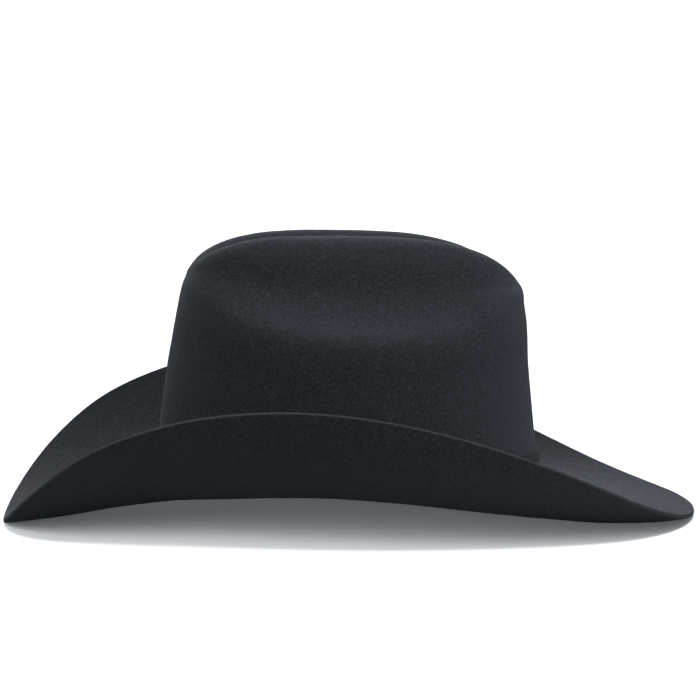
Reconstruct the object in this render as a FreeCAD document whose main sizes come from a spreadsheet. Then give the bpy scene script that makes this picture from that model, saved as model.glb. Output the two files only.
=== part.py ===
import FreeCAD, Part
import math
import os

# ---------------------------------------------------------------------------
# Felt western hat with a cattleman crease: crown and brim blocked from one
# piece of felt, a narrow band with a three-piece buckle set, and the sweatband
# and lining inside.  Millimetres.  +X is the front of the hat, +Y its left,
# +Z up; the origin is at the middle of the box, on the surface it rests on.
# ---------------------------------------------------------------------------

doc = FreeCAD.newDocument("western_hat")
sheet = doc.addObject("Spreadsheet::Sheet", "Sizes")
_row = [0]


def cell(alias, value, note=""):
    """One driving size: a plain number in column B with an alias."""
    _row[0] += 1
    r = _row[0]
    sheet.set("A%d" % r, note or alias)
    sheet.set("B%d" % r, repr(float(value)))
    sheet.setAlias("B%d" % r, alias)


def cells(alias, values, note=""):
    for i, v in enumerate(values):
        cell("%s_n%d" % (alias, i), v, note)


def size(alias):
    return float(sheet.get(alias))


def sizes(alias, n):
    return [size("%s_n%d" % (alias, i)) for i in range(n)]


# --- felt -------------------------------------------------------------------
cell("FeltThickness", 2.6, "thickness of the felt")
cell("BreakHalfLength", 107.5, "crown's outer oval at the break, half length")
cell("BreakHalfWidth", 88.5, "crown's outer oval at the break, half width")
cell("ShiftX", -0.76, "from the crown oval's centre to the middle of the box")
cell("ShiftZ", -0.25, "lowers the felt so that it rests on two small flats")
cells("BreakHeight", [25.0274, 1.7115, -2.1742], "height of the break: cosine terms")
cells("BrimWidth", [92.13, 1.555, -3.02], "brim width along the felt: cosine terms")
cells("BrimStart", [-20.9701, -7.1597, -9.2387, 5.935, 1.5754, -0.9742], "brim slope at the break, degrees")
cells("BrimEnd", [42.9518, -1.114, -39.4692, 3.1947, -2.4178, 3.7965, 0.8907], "brim slope at the edge, degrees")
cells("BrimCurl", [0.9689, -0.1468, 0.433], "how late the brim curls: cosine terms")
cells("WallFront", [0.1255, -0.5631e-3], "front wall: lean, and its change with height")
cells("WallBack", [0.0514, 0.863e-3], "back wall: lean, and its change with height")
cell("WallSide", 0.0999, "side wall: lean")
cell("CrestFront", 92.81, "crest of the crown: front end")
cell("CrestBack", -86.06, "crest of the crown: back end")
cells("CrestHalfWidth", [34.741, 2.46, 0.558], "half the distance between the two ridges")
cell("CrestSquareness", 0.42, "how much fuller than an oval the crest's outline is")
cells("CrestHeight", [157.511, -3.10, -5.658, -18.985, -8.947], "height of the ridges along the hat")
cell("CrestBackDrop", 2.0, "how much lower the crest is at the very back")
cell("CreaseFront", 66.0, "front end of the crease's floor")
cell("CreaseBack", -60.0, "back end of the crease's floor")
cells("CreaseFloor", [133.0, 132.6, 131.0, 127.6, 121.5], "height of the crease's floor, back to front")
STATIONS = [0, 15, 30, 37, 45, 53, 65, 79, 95, 110, 125, 137, 150, 165, 180]
cells("ShoulderHeight", [117, 117, 117, 115.5, 111, 106, 102.5, 101.5, 102.5, 105, 109.5, 115.5, 122.5, 128.5, 130.5])
cells("ShoulderInset", [1.0, 1.0, 1.0, .9, 1.0, 1.3, 1.4, 1.4, 1.4, 1.4, 1.3, 1.0, .5, .1, .0])
cells("LedgeReach", [.18, .19, .17, .18, .20, .24, .26, .27, .27, .27, .26, .22, .17, .19, .30])
cells("LedgeHeight", [123.6, 123.8, 124, 123, 119.5, 115.5, 112.3, 111.5, 112.4, 115, 119, 124, 129.7, 134.0, 135.4])
cells("FaceReach", [.45, .43, .42, .44, .48, .53, .56, .57, .57, .57, .56, .50, .43, .47, .60])
cells("FaceHeight", [128.1, 128.5, 129.6, 130.2, 129.8, 129.6, 130, 130.5, 131, 132, 133.5, 136.2, 138.4, 139.0, 139.1])
cells("BrowReach", [.68, .68, .71, .75, .79, .82, .83, .83, .83, .83, .82, .79, .76, .78, .82])
cells("BrowDrop", [1.2, 1.3, 1.8, 2.2, 2.6, 2.9, 3.0, 3.0, 3.0, 3.0, 2.9, 2.5, 1.8, 1.2, 1.0])

# --- band and its buckle set --------------------------------------------------
cell("BandLow", 4.6, "band's lower edge above the break")
cell("BandTall", 7.0, "band's height")
cell("BandThick", 1.5, "band's thickness")
cell("BandGap", 0.15, "between the felt and the band")
cell("BuckleAngle", 84.0, "where the buckle's bar is, degrees round the crown from the front")
cell("TongueTall", 6.2, "height of the band's free end")
cell("TongueThick", 1.12)
cell("TongueFront", -11.0, "front end of the free end, from the buckle's bar")
cell("TongueBack", 19.0, "back end of the free end")
cell("FrameTall", 10.6, "buckle frame")
cell("FrameLong", 8.2)
cell("FrameWire", 1.4, "width of the frame's sides")
cell("FrameThick", 1.1)
cell("FrameTilt", 12.0, "degrees the frame stands out at rest")
cell("FrameRound", 1.6, "frame's outer corner radius")
cell("BarRadius", 0.5)
cell("BarOut", 2.68, "bar's axis outside the felt")
cell("ProngRadius", 0.45)
cell("ProngLong", 7.3)
cell("ProngTilt", 22.2, "degrees the prong stands out at rest")
cell("ProngHub", 0.86, "outer radius of the prong's eye")
cell("ProngEye", 0.56, "inner radius of the prong's eye")
cell("ProngWide", 1.1, "length of the prong's eye")
cell("KeeperAlong", 8.5, "keeper's place behind the buckle's bar")
cell("KeeperWide", 2.6)
cell("KeeperInside", 6.6, "height of the keeper's opening")
cell("KeeperSide", 0.45)
cell("TipLong", 7.0)
cell("TipTall", 7.1)
cell("TipThick", 1.9)

# --- sweatband and lining -------------------------------------------------------
cell("SweatIn", 3.9, "sweatband's outer face, inside the felt's outer face")
cell("SweatThick", 1.2)
cell("SweatLow", 1.8)
cell("SweatHigh", 58.0)
cell("ReedRadius", 0.9)
cell("ReedIn", 4.3)
cell("ReedHigh", 0.35)
cell("TapeIn", 3.05)
cell("TapeThick", 0.5)
cell("StitchRadius", 0.28)
cell("StitchLong", 3.0)
cell("LiningThick", 0.4)
cell("LiningTopHeight", 104.0, "height of the lining's piped seam")
cell("LiningHalfLength", 88.0)
cell("LiningHalfWidth", 66.0)
cell("LiningTopX", 2.0)
cell("PipingRadius", 0.8)
cell("ProtectorHalfLength", 50.0)
cell("ProtectorHalfWidth", 34.0)
cell("ProtectorThick", 0.2)
cell("BowLong", 13.0)
cell("BowTall", 7.0)
cell("BowThick", 1.7)
doc.recompute()

# ---------------------------------------------------------------------------
# The shape of the felt, as functions of the angle t round the crown's oval
# (0 at the front, pi at the back; the hat is the same on both sides).
# ---------------------------------------------------------------------------
A0 = size("BreakHalfLength")
B0 = size("BreakHalfWidth")
THICK = size("FeltThickness")
DX = size("ShiftX")
DZ = size("ShiftZ")
F0 = sizes("BrimStart", 6)
F1 = sizes("BrimEnd", 7)
PW = sizes("BrimCurl", 3)
ZB = sizes("BreakHeight", 3)
LW = sizes("BrimWidth", 3)
WF = sizes("WallFront", 2)
WB = sizes("WallBack", 2)
WS = size("WallSide")
CF, CB = size("CrestFront"), size("CrestBack")
CW = sizes("CrestHalfWidth", 3)
CN = size("CrestSquareness")
CZ = sizes("CrestHeight", 5)
CDROP = size("CrestBackDrop")
XS = (size("CreaseFront"), size("CreaseBack"))


def spline(xs, ys, slope0=0.0, slope1=0.0):
    """Cubic spline through (xs, ys) with given end slopes; returns a function."""
    n = len(xs)
    h = [xs[i + 1] - xs[i] for i in range(n - 1)]
    a = [0.0] * n
    b = [0.0] * n
    c = [0.0] * n
    d = [0.0] * n
    b[0] = 2 * h[0]
    c[0] = h[0]
    d[0] = 6 * ((ys[1] - ys[0]) / h[0] - slope0)
    for i in range(1, n - 1):
        a[i] = h[i - 1]
        b[i] = 2 * (h[i - 1] + h[i])
        c[i] = h[i]
        d[i] = 6 * ((ys[i + 1] - ys[i]) / h[i] - (ys[i] - ys[i - 1]) / h[i - 1])
    a[n - 1] = h[-1]
    b[n - 1] = 2 * h[-1]
    d[n - 1] = 6 * (slope1 - (ys[-1] - ys[-2]) / h[-1])
    for i in range(1, n):
        m = a[i] / b[i - 1]
        b[i] -= m * c[i - 1]
        d[i] -= m * d[i - 1]
    M = [0.0] * n
    M[-1] = d[-1] / b[-1]
    for i in range(n - 2, -1, -1):
        M[i] = (d[i] - c[i] * M[i + 1]) / b[i]

    def f(x):
        x = min(max(x, xs[0]), xs[-1])
        lo, hi = 0, n - 1
        while hi - lo > 1:
            k = (lo + hi) // 2
            if xs[k] > x:
                hi = k
            else:
                lo = k
        H = h[lo]
        A = (xs[lo + 1] - x) / H
        B = (x - xs[lo]) / H
        return A * ys[lo] + B * ys[lo + 1] + ((A ** 3 - A) * M[lo] + (B ** 3 - B) * M[lo + 1]) * H * H / 6
    return f


def four(c, t):
    return sum(c[k] * math.cos(k * t) for k in range(len(c)))


TABLE = {}
for _name in ("ShoulderHeight", "ShoulderInset", "LedgeReach", "LedgeHeight", "FaceReach", "FaceHeight", "BrowReach", "BrowDrop"):
    TABLE[_name] = spline([math.radians(a) for a in STATIONS], sizes(_name, len(STATIONS)))
FLOOR = spline([XS[1], -30.0, 0.0, 30.0, XS[0]], sizes("CreaseFloor", 5), 0.0, -0.15)


def wall(t, h):
    """Outer face of the crown's wall, h above the break."""
    xf = A0 - WF[0] * h - WF[1] * h * h
    xb = -(A0 - WB[0] * h - WB[1] * h * h)
    return (xf + xb) / 2 + (xf - xb) / 2 * math.cos(t), (B0 - WS * h) * math.sin(t)


def break_height(t):
    return ZB[0] + ZB[1] * math.cos(t) + ZB[2] * math.cos(2 * t)


def crest(t):
    c = math.cos(t)
    s = math.sin(t) * (1 + CN * c * c)
    x = (CF + CB) / 2 + (CF - CB) / 2 * c
    r = x / 100
    z = CZ[0] + CZ[1] * r + CZ[2] * r ** 2 + CZ[3] * r ** 4 + CZ[4] * r ** 8
    z -= CDROP * math.exp(-((math.pi - t) / 0.45) ** 2)
    return x, (CW[0] + CW[1] * r + CW[2] * r * r) * s, z


def crease(t):
    x = XS[0] + (XS[1] - XS[0]) * t / math.pi
    return x, 0.0, FLOOR(x)


def brim(t, fractions):
    """Upper face of the brim at the given fractions of its width."""
    a0 = math.radians(four(F0, t))
    a1 = math.radians(four(F1, t))
    pw = max(0.6, PW[0] + PW[1] * math.cos(2 * t) + PW[2] * math.cos(t))
    L = LW[0] + LW[1] * math.cos(t) + LW[2] * math.cos(2 * t)
    nx, ny = math.cos(t) / A0, math.sin(t) / B0
    k = math.hypot(nx, ny)
    nx, ny = nx / k, ny / k
    N = 48
    prev = a0
    O, U = [0.0], [0.0]
    for i in range(1, N + 1):
        phi = a0 + (a1 - a0) * (i / N) ** pw
        O.append(O[-1] + L / N * (math.cos(phi) + math.cos(prev)) / 2)
        U.append(U[-1] + L / N * (math.sin(phi) + math.sin(prev)) / 2)
        prev = phi
    out = []
    for s in fractions:
        i = min(int(s * N), N - 1)
        w = s * N - i
        o = O[i] + (O[i + 1] - O[i]) * w
        u = U[i] + (U[i + 1] - U[i]) * w
        out.append((A0 * math.cos(t) + o * nx, B0 * math.sin(t) + o * ny, break_height(t) + u))
    return out


BRIM_AT = [1.0, .95, .88, .79, .69, .58, .47, .36, .26, .17, .105, .055]
WALL_AT = [5.5, 13.0, 25.0, 42.0]


def knots(t):
    """Points of the felt's outer face at angle t, from the brim's edge to the crease."""
    pts = brim(t, BRIM_AT)
    zb = break_height(t)
    x1, y1 = wall(t, WALL_AT[0])
    p0, p1 = pts[-1], (x1, y1, zb + WALL_AT[0])
    corner = (A0 * math.cos(t), B0 * math.sin(t), zb)
    mid = [(p0[i] + p1[i]) / 2 for i in range(3)]
    pts.append(tuple((mid[i] + corner[i]) / 2 for i in range(3)))
    zs = TABLE["ShoulderHeight"](t)
    cx, cy, cz = crest(t)
    for h in WALL_AT:
        x, y = wall(t, h)
        pts.append((x, y, zb + h))
    for h in ((WALL_AT[-1] + zs - zb - 8.0) / 2, zs - zb - 8.0):
        x, y = wall(t, h)
        pts.append((x, y, zb + h))
    x, y = wall(t, zs - zb)
    inset = TABLE["ShoulderInset"](t) / math.hypot(cx - x, cy - y)
    pts.append((x + (cx - x) * inset, y + (cy - y) * inset, zs))
    for k, kz in (("LedgeReach", "LedgeHeight"), ("FaceReach", "FaceHeight")):
        f, z = TABLE[k](t), TABLE[kz](t)
        wx, wy = wall(t, zs - zb + 0.5 * (z - zs))
        pts.append((wx + (cx - wx) * f, wy + (cy - wy) * f, z))
    f = TABLE["BrowReach"](t)
    pts.append((x + (cx - x) * f, y + (cy - y) * f, cz - TABLE["BrowDrop"](t)))
    pts.append((cx, cy, cz))
    sx, sy, sz = crease(t)
    dep = cz - sz
    pts.append((cx + (sx - cx) * .22, cy * .78, cz - dep * .20))
    pts.append((cx + (sx - cx) * .58, cy * .42, cz - dep * .77))
    pts.append((sx, sy, sz))
    return pts


def profile(t):
    K = knots(t)
    u = [0.0]
    for i in range(1, len(K)):
        u.append(u[-1] + math.dist(K[i], K[i - 1]))
    a, b = K[-2], K[-1]
    d = math.hypot(b[0] - a[0], b[1] - a[1])
    lo, hi = max(b[0] - .01, XS[1]), min(b[0] + .01, XS[0])
    slope = (FLOOR(hi) - FLOOR(lo)) / (hi - lo)
    dx, dy = (b[0] - a[0]) / d, (b[1] - a[1]) / d
    s1 = (dx * .9, dy * .9, dx * slope * .9)
    dd = math.dist(K[0], K[1])
    s0 = [(K[1][i] - K[0][i]) / dd for i in range(3)]
    return u, [spline(u, [k[c] for k in K], s0[c], s1[c]) for c in range(3)]


_u90 = profile(math.pi / 2)[0]
SPLIT = [2 if _u90[i + 1] - _u90[i] > 9.0 else 1 for i in range(len(_u90) - 1)]


def column(t):
    """The felt's outer face at angle t, sampled from edge to crease."""
    u, f = profile(t)
    out = []
    for k in range(len(u) - 1):
        for j in range(SPLIT[k]):
            w = u[k] + (u[k + 1] - u[k]) * j / SPLIT[k]
            out.append(tuple(g(w) for g in f))
    out.append(tuple(g(u[-1]) for g in f))
    return out


HALF = 31
ANGLES = [math.pi * i / (HALF - 1) for i in range(HALF)]


def outer_and_inner(depth):
    """Grids over half the hat: the felt's outer face, and the face `depth` inside it."""
    e = 0.004
    outer, inner = [], []
    for t in ANGLES:
        C = column(t)
        lo, hi = column(max(t - e, 0.0)), column(min(t + e, math.pi))
        last = len(C) - 1
        row = []
        for j, p in enumerate(C):
            a, b = C[max(j - 1, 0)], C[min(j + 1, last)]
            if 0 < j < last:
                u1, u2 = math.dist(a, p), math.dist(p, b)
                tw = [(p[c] - a[c]) / u1 * u2 + (b[c] - p[c]) / u2 * u1 for c in range(3)]
            else:
                tw = [b[c] - a[c] for c in range(3)]
            tt = [hi[j][c] - lo[j][c] for c in range(3)]
            if t in (ANGLES[0], ANGLES[-1]):
                tt = [0.0, 1.0 if t == ANGLES[0] else -1.0, 0.0]
            if j == last:
                x = p[0]
                l2, h2 = max(x - .01, XS[1]), min(x + .01, XS[0])
                s = (FLOOR(h2) - FLOOR(l2)) / (h2 - l2)
                n = [-s, 0.0, 1.0]
            else:
                n = [tt[1] * tw[2] - tt[2] * tw[1], tt[2] * tw[0] - tt[0] * tw[2], tt[0] * tw[1] - tt[1] * tw[0]]
            k = math.sqrt(sum(v * v for v in n))
            n = [v / k for v in n]
            fade = max(0.0, (j - (last - 6)) / 5.0)
            if fade > 0.0:
                fade = min(fade, 1.0)
                n = [n[0] * (1 - fade), n[1] * (1 - fade), n[2] * (1 - fade) + fade]
                k = math.sqrt(sum(v * v for v in n))
                n = [v / k for v in n]
            if t in (ANGLES[0], ANGLES[-1]):
                n[1] = 0.0
            row.append(tuple(p[c] - depth * n[c] for c in range(3)))
        outer.append(C)
        inner.append(row)
    return outer, inner


def shifted(p, side=1):
    return FreeCAD.Vector(p[0] + DX, side * p[1], p[2] + DZ)


def through(values, ends):
    """Coefficients of the uniform cubic B-spline through the values; ends: 'free', 'even' or 'odd'."""
    n = len(values)
    a = [1.0] * n
    b = [4.0] * n
    c = [1.0] * n
    d = [6.0 * v for v in values]
    if ends == "free":
        b[0], c[0], d[0] = 1.0, 0.0, values[0]
        b[-1], a[-1], d[-1] = 1.0, 0.0, values[-1]
    elif ends == "even":
        c[0] = a[-1] = 2.0
    else:
        b[0], c[0], d[0] = 1.0, 0.0, 0.0
        b[-1], a[-1], d[-1] = 1.0, 0.0, 0.0
    for i in range(1, n):
        m = a[i] / b[i - 1]
        b[i] -= m * c[i - 1]
        d[i] -= m * d[i - 1]
    x = [0.0] * n
    x[-1] = d[-1] / b[-1]
    for i in range(n - 2, -1, -1):
        x[i] = (d[i] - c[i] * x[i + 1]) / b[i]
    if ends == "free":
        return [2 * x[0] - x[1]] + x + [2 * x[-1] - x[-2]]
    if ends == "even":
        return [x[1]] + x + [x[-2]]
    return [-x[1]] + x + [-x[-2]]


def surface(grid, side=1, mirrored=True):
    """Bicubic B-spline through a grid of points; `mirrored`: its first and last rows lie in the hat's middle plane."""
    n, m = len(grid), len(grid[0])
    poles = [[[0.0, 0.0, 0.0] for _ in range(m + 2)] for _ in range(n + 2)]
    for axis in range(3):
        rows = [through([p[axis] for p in row], "free") for row in grid]
        ends = "free" if not mirrored else ("odd" if axis == 1 else "even")
        for j in range(m + 2):
            col = through([r[j] for r in rows], ends)
            for i in range(n + 2):
                poles[i][j][axis] = col[i]
    P = [[shifted(p, side) for p in row] for row in poles]
    s = Part.BSplineSurface()
    uk = [float(i - 3) for i in range(n + 6)]
    vk = [float(i - 3) for i in range(m + 6)]
    s.buildFromPolesMultsKnots(P, [1] * len(uk), [1] * len(vk), uk, vk, False, False, 3, 3)
    s.segment(0.0, float(n - 1), 0.0, float(m - 1))
    return s


def ruled(c1, c2):
    return Part.makeRuledSurface(c1.toShape(), c2.toShape())


def closed_solid(faces, tolerance=0.01):
    """Sews faces into one closed solid with its normals outwards."""
    sewn = Part.makeCompound(faces)
    sewn.sewShape(tolerance)
    shells = sewn.Shells
    if len(shells) != 1 or not shells[0].isClosed():
        raise ValueError("the faces don't close: %d shells" % len(shells))
    solid = Part.makeSolid(shells[0])
    if solid.Volume < 0:
        solid.reverse()
    return solid


def feature(name, shape, placement=None):
    f = doc.addObject("Part::Feature", name)
    f.Label = name
    f.Shape = shape
    f.Placement = placement if placement is not None else FreeCAD.Placement()
    return f


PARTS = []


def bound(obj, prop, expression):
    obj.setExpression(prop, expression)


# --- felt_body: crown and brim, one piece ---------------------------------------
def skin_solid(outer, inner):
    faces = []
    for side in (1, -1):
        so, si = surface(outer, side), surface(inner, side)
        faces += [so.toShape(), si.toShape(), ruled(so.vIso(so.bounds()[2]), si.vIso(si.bounds()[2]))]
    return closed_solid(faces)


felt_outer, felt_inner = outer_and_inner(THICK)
felt_shape = skin_solid(felt_outer, felt_inner)
print("felt before trim", felt_shape.isValid(), round(felt_shape.Volume), felt_shape.BoundBox)
trim = Part.makeBox(500, 500, 40, FreeCAD.Vector(-250, -250, -40))
cut = felt_shape.cut(trim)
print("felt after trim", cut.isValid(), round(cut.Volume), len(cut.Solids), len(cut.Faces))
felt_shape = cut.Solids[0]
PARTS.append(feature("felt_body", felt_shape))


# --- strips that follow the crown's wall -----------------------------------------
def round_wall(t, h, d):
    """A point d outside the wall's outer face (negative: inside), h above the break."""
    x, y = wall(t, h)
    nx, ny = math.cos(t) / A0, math.sin(t) / B0
    k = math.hypot(nx, ny)
    return x + d * nx / k, y + d * ny / k, break_height(t) + h


def ring(point, rows, stations=25):
    """A closed band: point(t, v, w) with v up it (0..1) and w through it (0 inside, 1 outside)."""
    ts = [math.pi * i / (stations - 1) for i in range(stations)]
    vs = [i / (rows - 1) for i in range(rows)]
    faces = []
    for side in (1, -1):
        grids = [[[point(t, v, w) for v in vs] for t in ts] for w in (0, 1)]
        for g in grids:
            for r in (g[0], g[-1]):
                for i, p in enumerate(r):
                    r[i] = (p[0], 0.0, p[2])
        a, b = (surface(g, side) for g in grids)
        faces += [a.toShape(), b.toShape()]
        for end in (2, 3):
            faces.append(ruled(a.vIso(a.bounds()[end]), b.vIso(b.bounds()[end])))
    return closed_solid(faces)


def patch(point, t0, t1, rows=4, stations=15):
    """A strip with two free ends, between the angles t0 and t1."""
    ts = [t0 + (t1 - t0) * i / (stations - 1) for i in range(stations)]
    vs = [i / (rows - 1) for i in range(rows)]
    a, b = (surface([[point(t, v, w) for v in vs] for t in ts], 1, False) for w in (0, 1))
    faces = [a.toShape(), b.toShape()]
    for end in (2, 3):
        faces.append(ruled(a.vIso(a.bounds()[end]), b.vIso(b.bounds()[end])))
    for end in (0, 1):
        faces.append(ruled(a.uIso(a.bounds()[end]), b.uIso(b.bounds()[end])))
    return closed_solid(faces)


def mix(a, b, w):
    return a + (b - a) * w


band_low, band_tall = size("BandLow"), size("BandTall")
band_in = size("BandGap")
band_out = band_in + size("BandThick")
PARTS.append(feature("hatband", ring(lambda t, v, w: round_wall(t, band_low + band_tall * v, mix(band_in, band_out, w)), 4)))

# places along the band, measured from the buckle's bar, + towards the back
T_BAR = math.radians(size("BuckleAngle"))
BAND_MID = band_low + band_tall / 2


def along(s):
    """The angle at a distance s along the band from the buckle's bar."""
    t = T_BAR
    n = 40
    for _ in range(n):
        t += s / n / math.hypot(A0 * math.sin(t), B0 * math.cos(t))
    return t


def spot(s, out, up=0.0):
    """Local frame on the hat's left, leaning with the wall: x along the band to the back, y up it, z out of it."""
    t = along(s)
    p = round_wall(t, BAND_MID + up, out)
    lo, hi = round_wall(t, BAND_MID - 3.0, 0.0), round_wall(t, BAND_MID + 3.0, 0.0)
    nx, ny = math.cos(t) / A0, math.sin(t) / B0
    k = math.hypot(nx, ny)
    n = FreeCAD.Vector(nx / k, ny / k, 0)
    back = FreeCAD.Vector(0, 0, 1).cross(n)
    lean = ((lo[0] - hi[0]) * n.x + (lo[1] - hi[1]) * n.y) / (hi[2] - lo[2])
    up_v = (FreeCAD.Vector(0, 0, 1) - n * lean).normalize()
    n = back.cross(up_v)
    m = FreeCAD.Matrix(back.x, up_v.x, n.x, p[0] + DX, back.y, up_v.y, n.y, p[1], back.z, up_v.z, n.z, p[2] + DZ, 0, 0, 0, 1)
    return FreeCAD.Placement(m)


t_tall, t_thick = size("TongueTall"), size("TongueThick")
t_front, t_back = size("TongueFront"), size("TongueBack")


def tongue_in(s):
    """Inner face of the band's free end: low in front of the buckle, over its bar behind."""
    lo, hi = 1.78, size("BarOut") + 0.57
    if s <= -5.6:
        return lo
    if s >= -0.8:
        return hi
    w = (s + 5.6) / 4.8
    return lo + (hi - lo) * (3 * w * w - 2 * w ** 3)


def tongue_point(t, v, w):
    s = (t - T_BAR) * math.hypot(A0 * math.sin((t + T_BAR) / 2), B0 * math.cos((t + T_BAR) / 2))
    thick = t_thick
    if s < -7.5:
        thick = t_thick * (0.35 + 0.65 * max(0.0, (s - t_front) / (-7.5 - t_front)))
    return round_wall(t, BAND_MID - t_tall / 2 + t_tall * v, tongue_in(s) + thick * w)


tongue = patch(tongue_point, along(t_front), along(t_back), 4, 45)
slot = Part.makeBox(5.7, 1.6, 6.0, FreeCAD.Vector(-4.2, -0.8, -1.0))
slot.Placement = spot(0.0, 2.0)
tongue = tongue.cut(slot)
PARTS.append(feature("band_tongue", tongue.Solids[0]))
PARTS.append(feature("band_fold", patch(lambda t, v, w: round_wall(t, BAND_MID - t_tall / 2 + t_tall * v, mix(2.04, 3.12, w)), along(1.15), along(14.0), 4, 9)))

# --- buckle frame: flat ring with a round bar, body in its own frame --------------
frame = doc.addObject("PartDesign::Body", "band_buckle")
frame.Label = "band_buckle"


def plane_of(body, role):
    return [o for o in body.Origin.OriginFeatures if o.Role == role][0]


def rectangle(sk, x0, y0, x1, y1, names):
    """Four lines with coincident corners, placed by four distances bound to the sheet."""
    import Sketcher
    V = FreeCAD.Vector
    base = len(sk.Geometry)
    for a, b in (((x0, y0), (x1, y0)), ((x1, y0), (x1, y1)), ((x1, y1), (x0, y1)), ((x0, y1), (x0, y0))):
        sk.addGeometry(Part.LineSegment(V(a[0], a[1], 0), V(b[0], b[1], 0)), False)
    C = Sketcher.Constraint
    for i in range(4):
        sk.addConstraint(C("Coincident", base + i, 2, base + (i + 1) % 4, 1))
    sk.addConstraint(C("Horizontal", base))
    sk.addConstraint(C("Vertical", base + 1))
    sk.addConstraint(C("Horizontal", base + 2))
    sk.addConstraint(C("Vertical", base + 3))
    for kind, geo, pos, value, expr in (("DistanceX", base, 1, x0, names[0]), ("DistanceY", base, 1, y0, names[1]), ("DistanceX", base, 2, x1, names[2]), ("DistanceY", base + 1, 2, y1, names[3])):
        k = sk.addConstraint(C(kind, -1, 1, geo, pos, value))
        sk.setExpression("Constraints[%d]" % k, expr)
    return base


fl, ft, fw = size("FrameLong"), size("FrameTall"), size("FrameWire")
sk = frame.newObject("Sketcher::SketchObject", "frame_outline")
sk.AttachmentSupport = [(plane_of(frame, "XY_Plane"), "")]
sk.MapMode = "FlatFace"
rectangle(sk, -fl + 1.0, -ft / 2, 1.0, ft / 2, ["-Sizes.FrameLong + 1", "-Sizes.FrameTall / 2", "1", "Sizes.FrameTall / 2"])
pad = frame.newObject("PartDesign::Pad", "frame_pad")
pad.Profile = sk
pad.Midplane = True
pad.Length = size("FrameThick")
bound(pad, "Length", "Sizes.FrameThick")
doc.recompute()
corner_edges = ["Edge%d" % (i + 1) for i, e in enumerate(pad.Shape.Edges) if abs(e.Vertexes[0].Z - e.Vertexes[1].Z) > 0.5]
round_ = frame.newObject("PartDesign::Fillet", "frame_round")
round_.Base = (pad, corner_edges)
round_.Radius = size("FrameRound")
bound(round_, "Radius", "Sizes.FrameRound")
doc.recompute()
sk2 = frame.newObject("Sketcher::SketchObject", "frame_window")
sk2.AttachmentSupport = [(plane_of(frame, "XY_Plane"), "")]
sk2.MapMode = "FlatFace"
rectangle(sk2, -fl + 1.0 + fw, -ft / 2 + fw, 1.2, ft / 2 - fw, ["-Sizes.FrameLong + 1 + Sizes.FrameWire", "-Sizes.FrameTall / 2 + Sizes.FrameWire", "1.2", "Sizes.FrameTall / 2 - Sizes.FrameWire"])
pocket = frame.newObject("PartDesign::Pocket", "frame_window_cut")
pocket.Profile = sk2
pocket.Type = "ThroughAll"
pocket.Midplane = True
frame.Tip = pocket
doc.recompute()
print("frame", round(pad.Shape.Volume, 1), round(pocket.Shape.Volume, 1))
bar_sk = frame.newObject("Sketcher::SketchObject", "bar_section")
bar_sk.AttachmentSupport = [(plane_of(frame, "XZ_Plane"), "")]
bar_sk.MapMode = "FlatFace"
import Sketcher
bar_sk.addGeometry(Part.Circle(FreeCAD.Vector(0, 0, 0), FreeCAD.Vector(0, 0, 1), 0.5), False)
bar_sk.addConstraint(Sketcher.Constraint("Coincident", 0, 3, -1, 1))
_k = bar_sk.addConstraint(Sketcher.Constraint("Radius", 0, 0.5))
bar_sk.setExpression("Constraints[%d]" % _k, "Sizes.BarRadius")
bar = frame.newObject("PartDesign::Pad", "bar")
bar.Profile = bar_sk
bar.Midplane = True
bar.Length = ft - 1.0
bound(bar, "Length", "Sizes.FrameTall - 1")
frame.Tip = bar
doc.recompute()
print("frame with bar", round(bar.Shape.Volume, 1), len(bar.Shape.Solids))
tilt = FreeCAD.Placement(FreeCAD.Vector(0, 0, 0), FreeCAD.Rotation(FreeCAD.Vector(0, 1, 0), size("FrameTilt")))
frame.Placement = spot(0.0, size("BarOut")) * tilt
PARTS.append(frame)

# --- prong: an eye on the bar and a rod that rests on the frame -------------------
eye = doc.addObject("Part::Cylinder", "prong_eye")
bound(eye, "Radius", "Sizes.ProngHub")
bound(eye, "Height", "Sizes.ProngWide")
eye.Placement = FreeCAD.Placement(FreeCAD.Vector(0, size("ProngWide") / 2, 0), FreeCAD.Rotation(FreeCAD.Vector(1, 0, 0), 90))
rod = doc.addObject("Part::Cylinder", "prong_rod")
bound(rod, "Radius", "Sizes.ProngRadius")
bound(rod, "Height", "Sizes.ProngLong")
rod.Placement = FreeCAD.Placement(FreeCAD.Vector(0, 0, 0), FreeCAD.Rotation(FreeCAD.Vector(0, 1, 0), -90))
nose = doc.addObject("Part::Sphere", "prong_nose")
bound(nose, "Radius", "Sizes.ProngRadius")
nose.Placement = FreeCAD.Placement(FreeCAD.Vector(-size("ProngLong"), 0, 0), FreeCAD.Rotation())
body = doc.addObject("Part::MultiFuse", "prong_body")
body.Shapes = [eye, rod, nose]
hole = doc.addObject("Part::Cylinder", "prong_hole")
bound(hole, "Radius", "Sizes.ProngEye")
hole.Height = 4.0
hole.Placement = FreeCAD.Placement(FreeCAD.Vector(0, 2.0, 0), FreeCAD.Rotation(FreeCAD.Vector(1, 0, 0), 90))
prong = doc.addObject("Part::Cut", "band_buckle_prong")
prong.Label = "band_buckle_prong"
prong.Base = body
prong.Tool = hole
prong.Placement = spot(0.0, size("BarOut")) * FreeCAD.Placement(FreeCAD.Vector(0, 0, 0), FreeCAD.Rotation(FreeCAD.Vector(0, 1, 0), size("ProngTilt")))
PARTS.append(prong)

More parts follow.
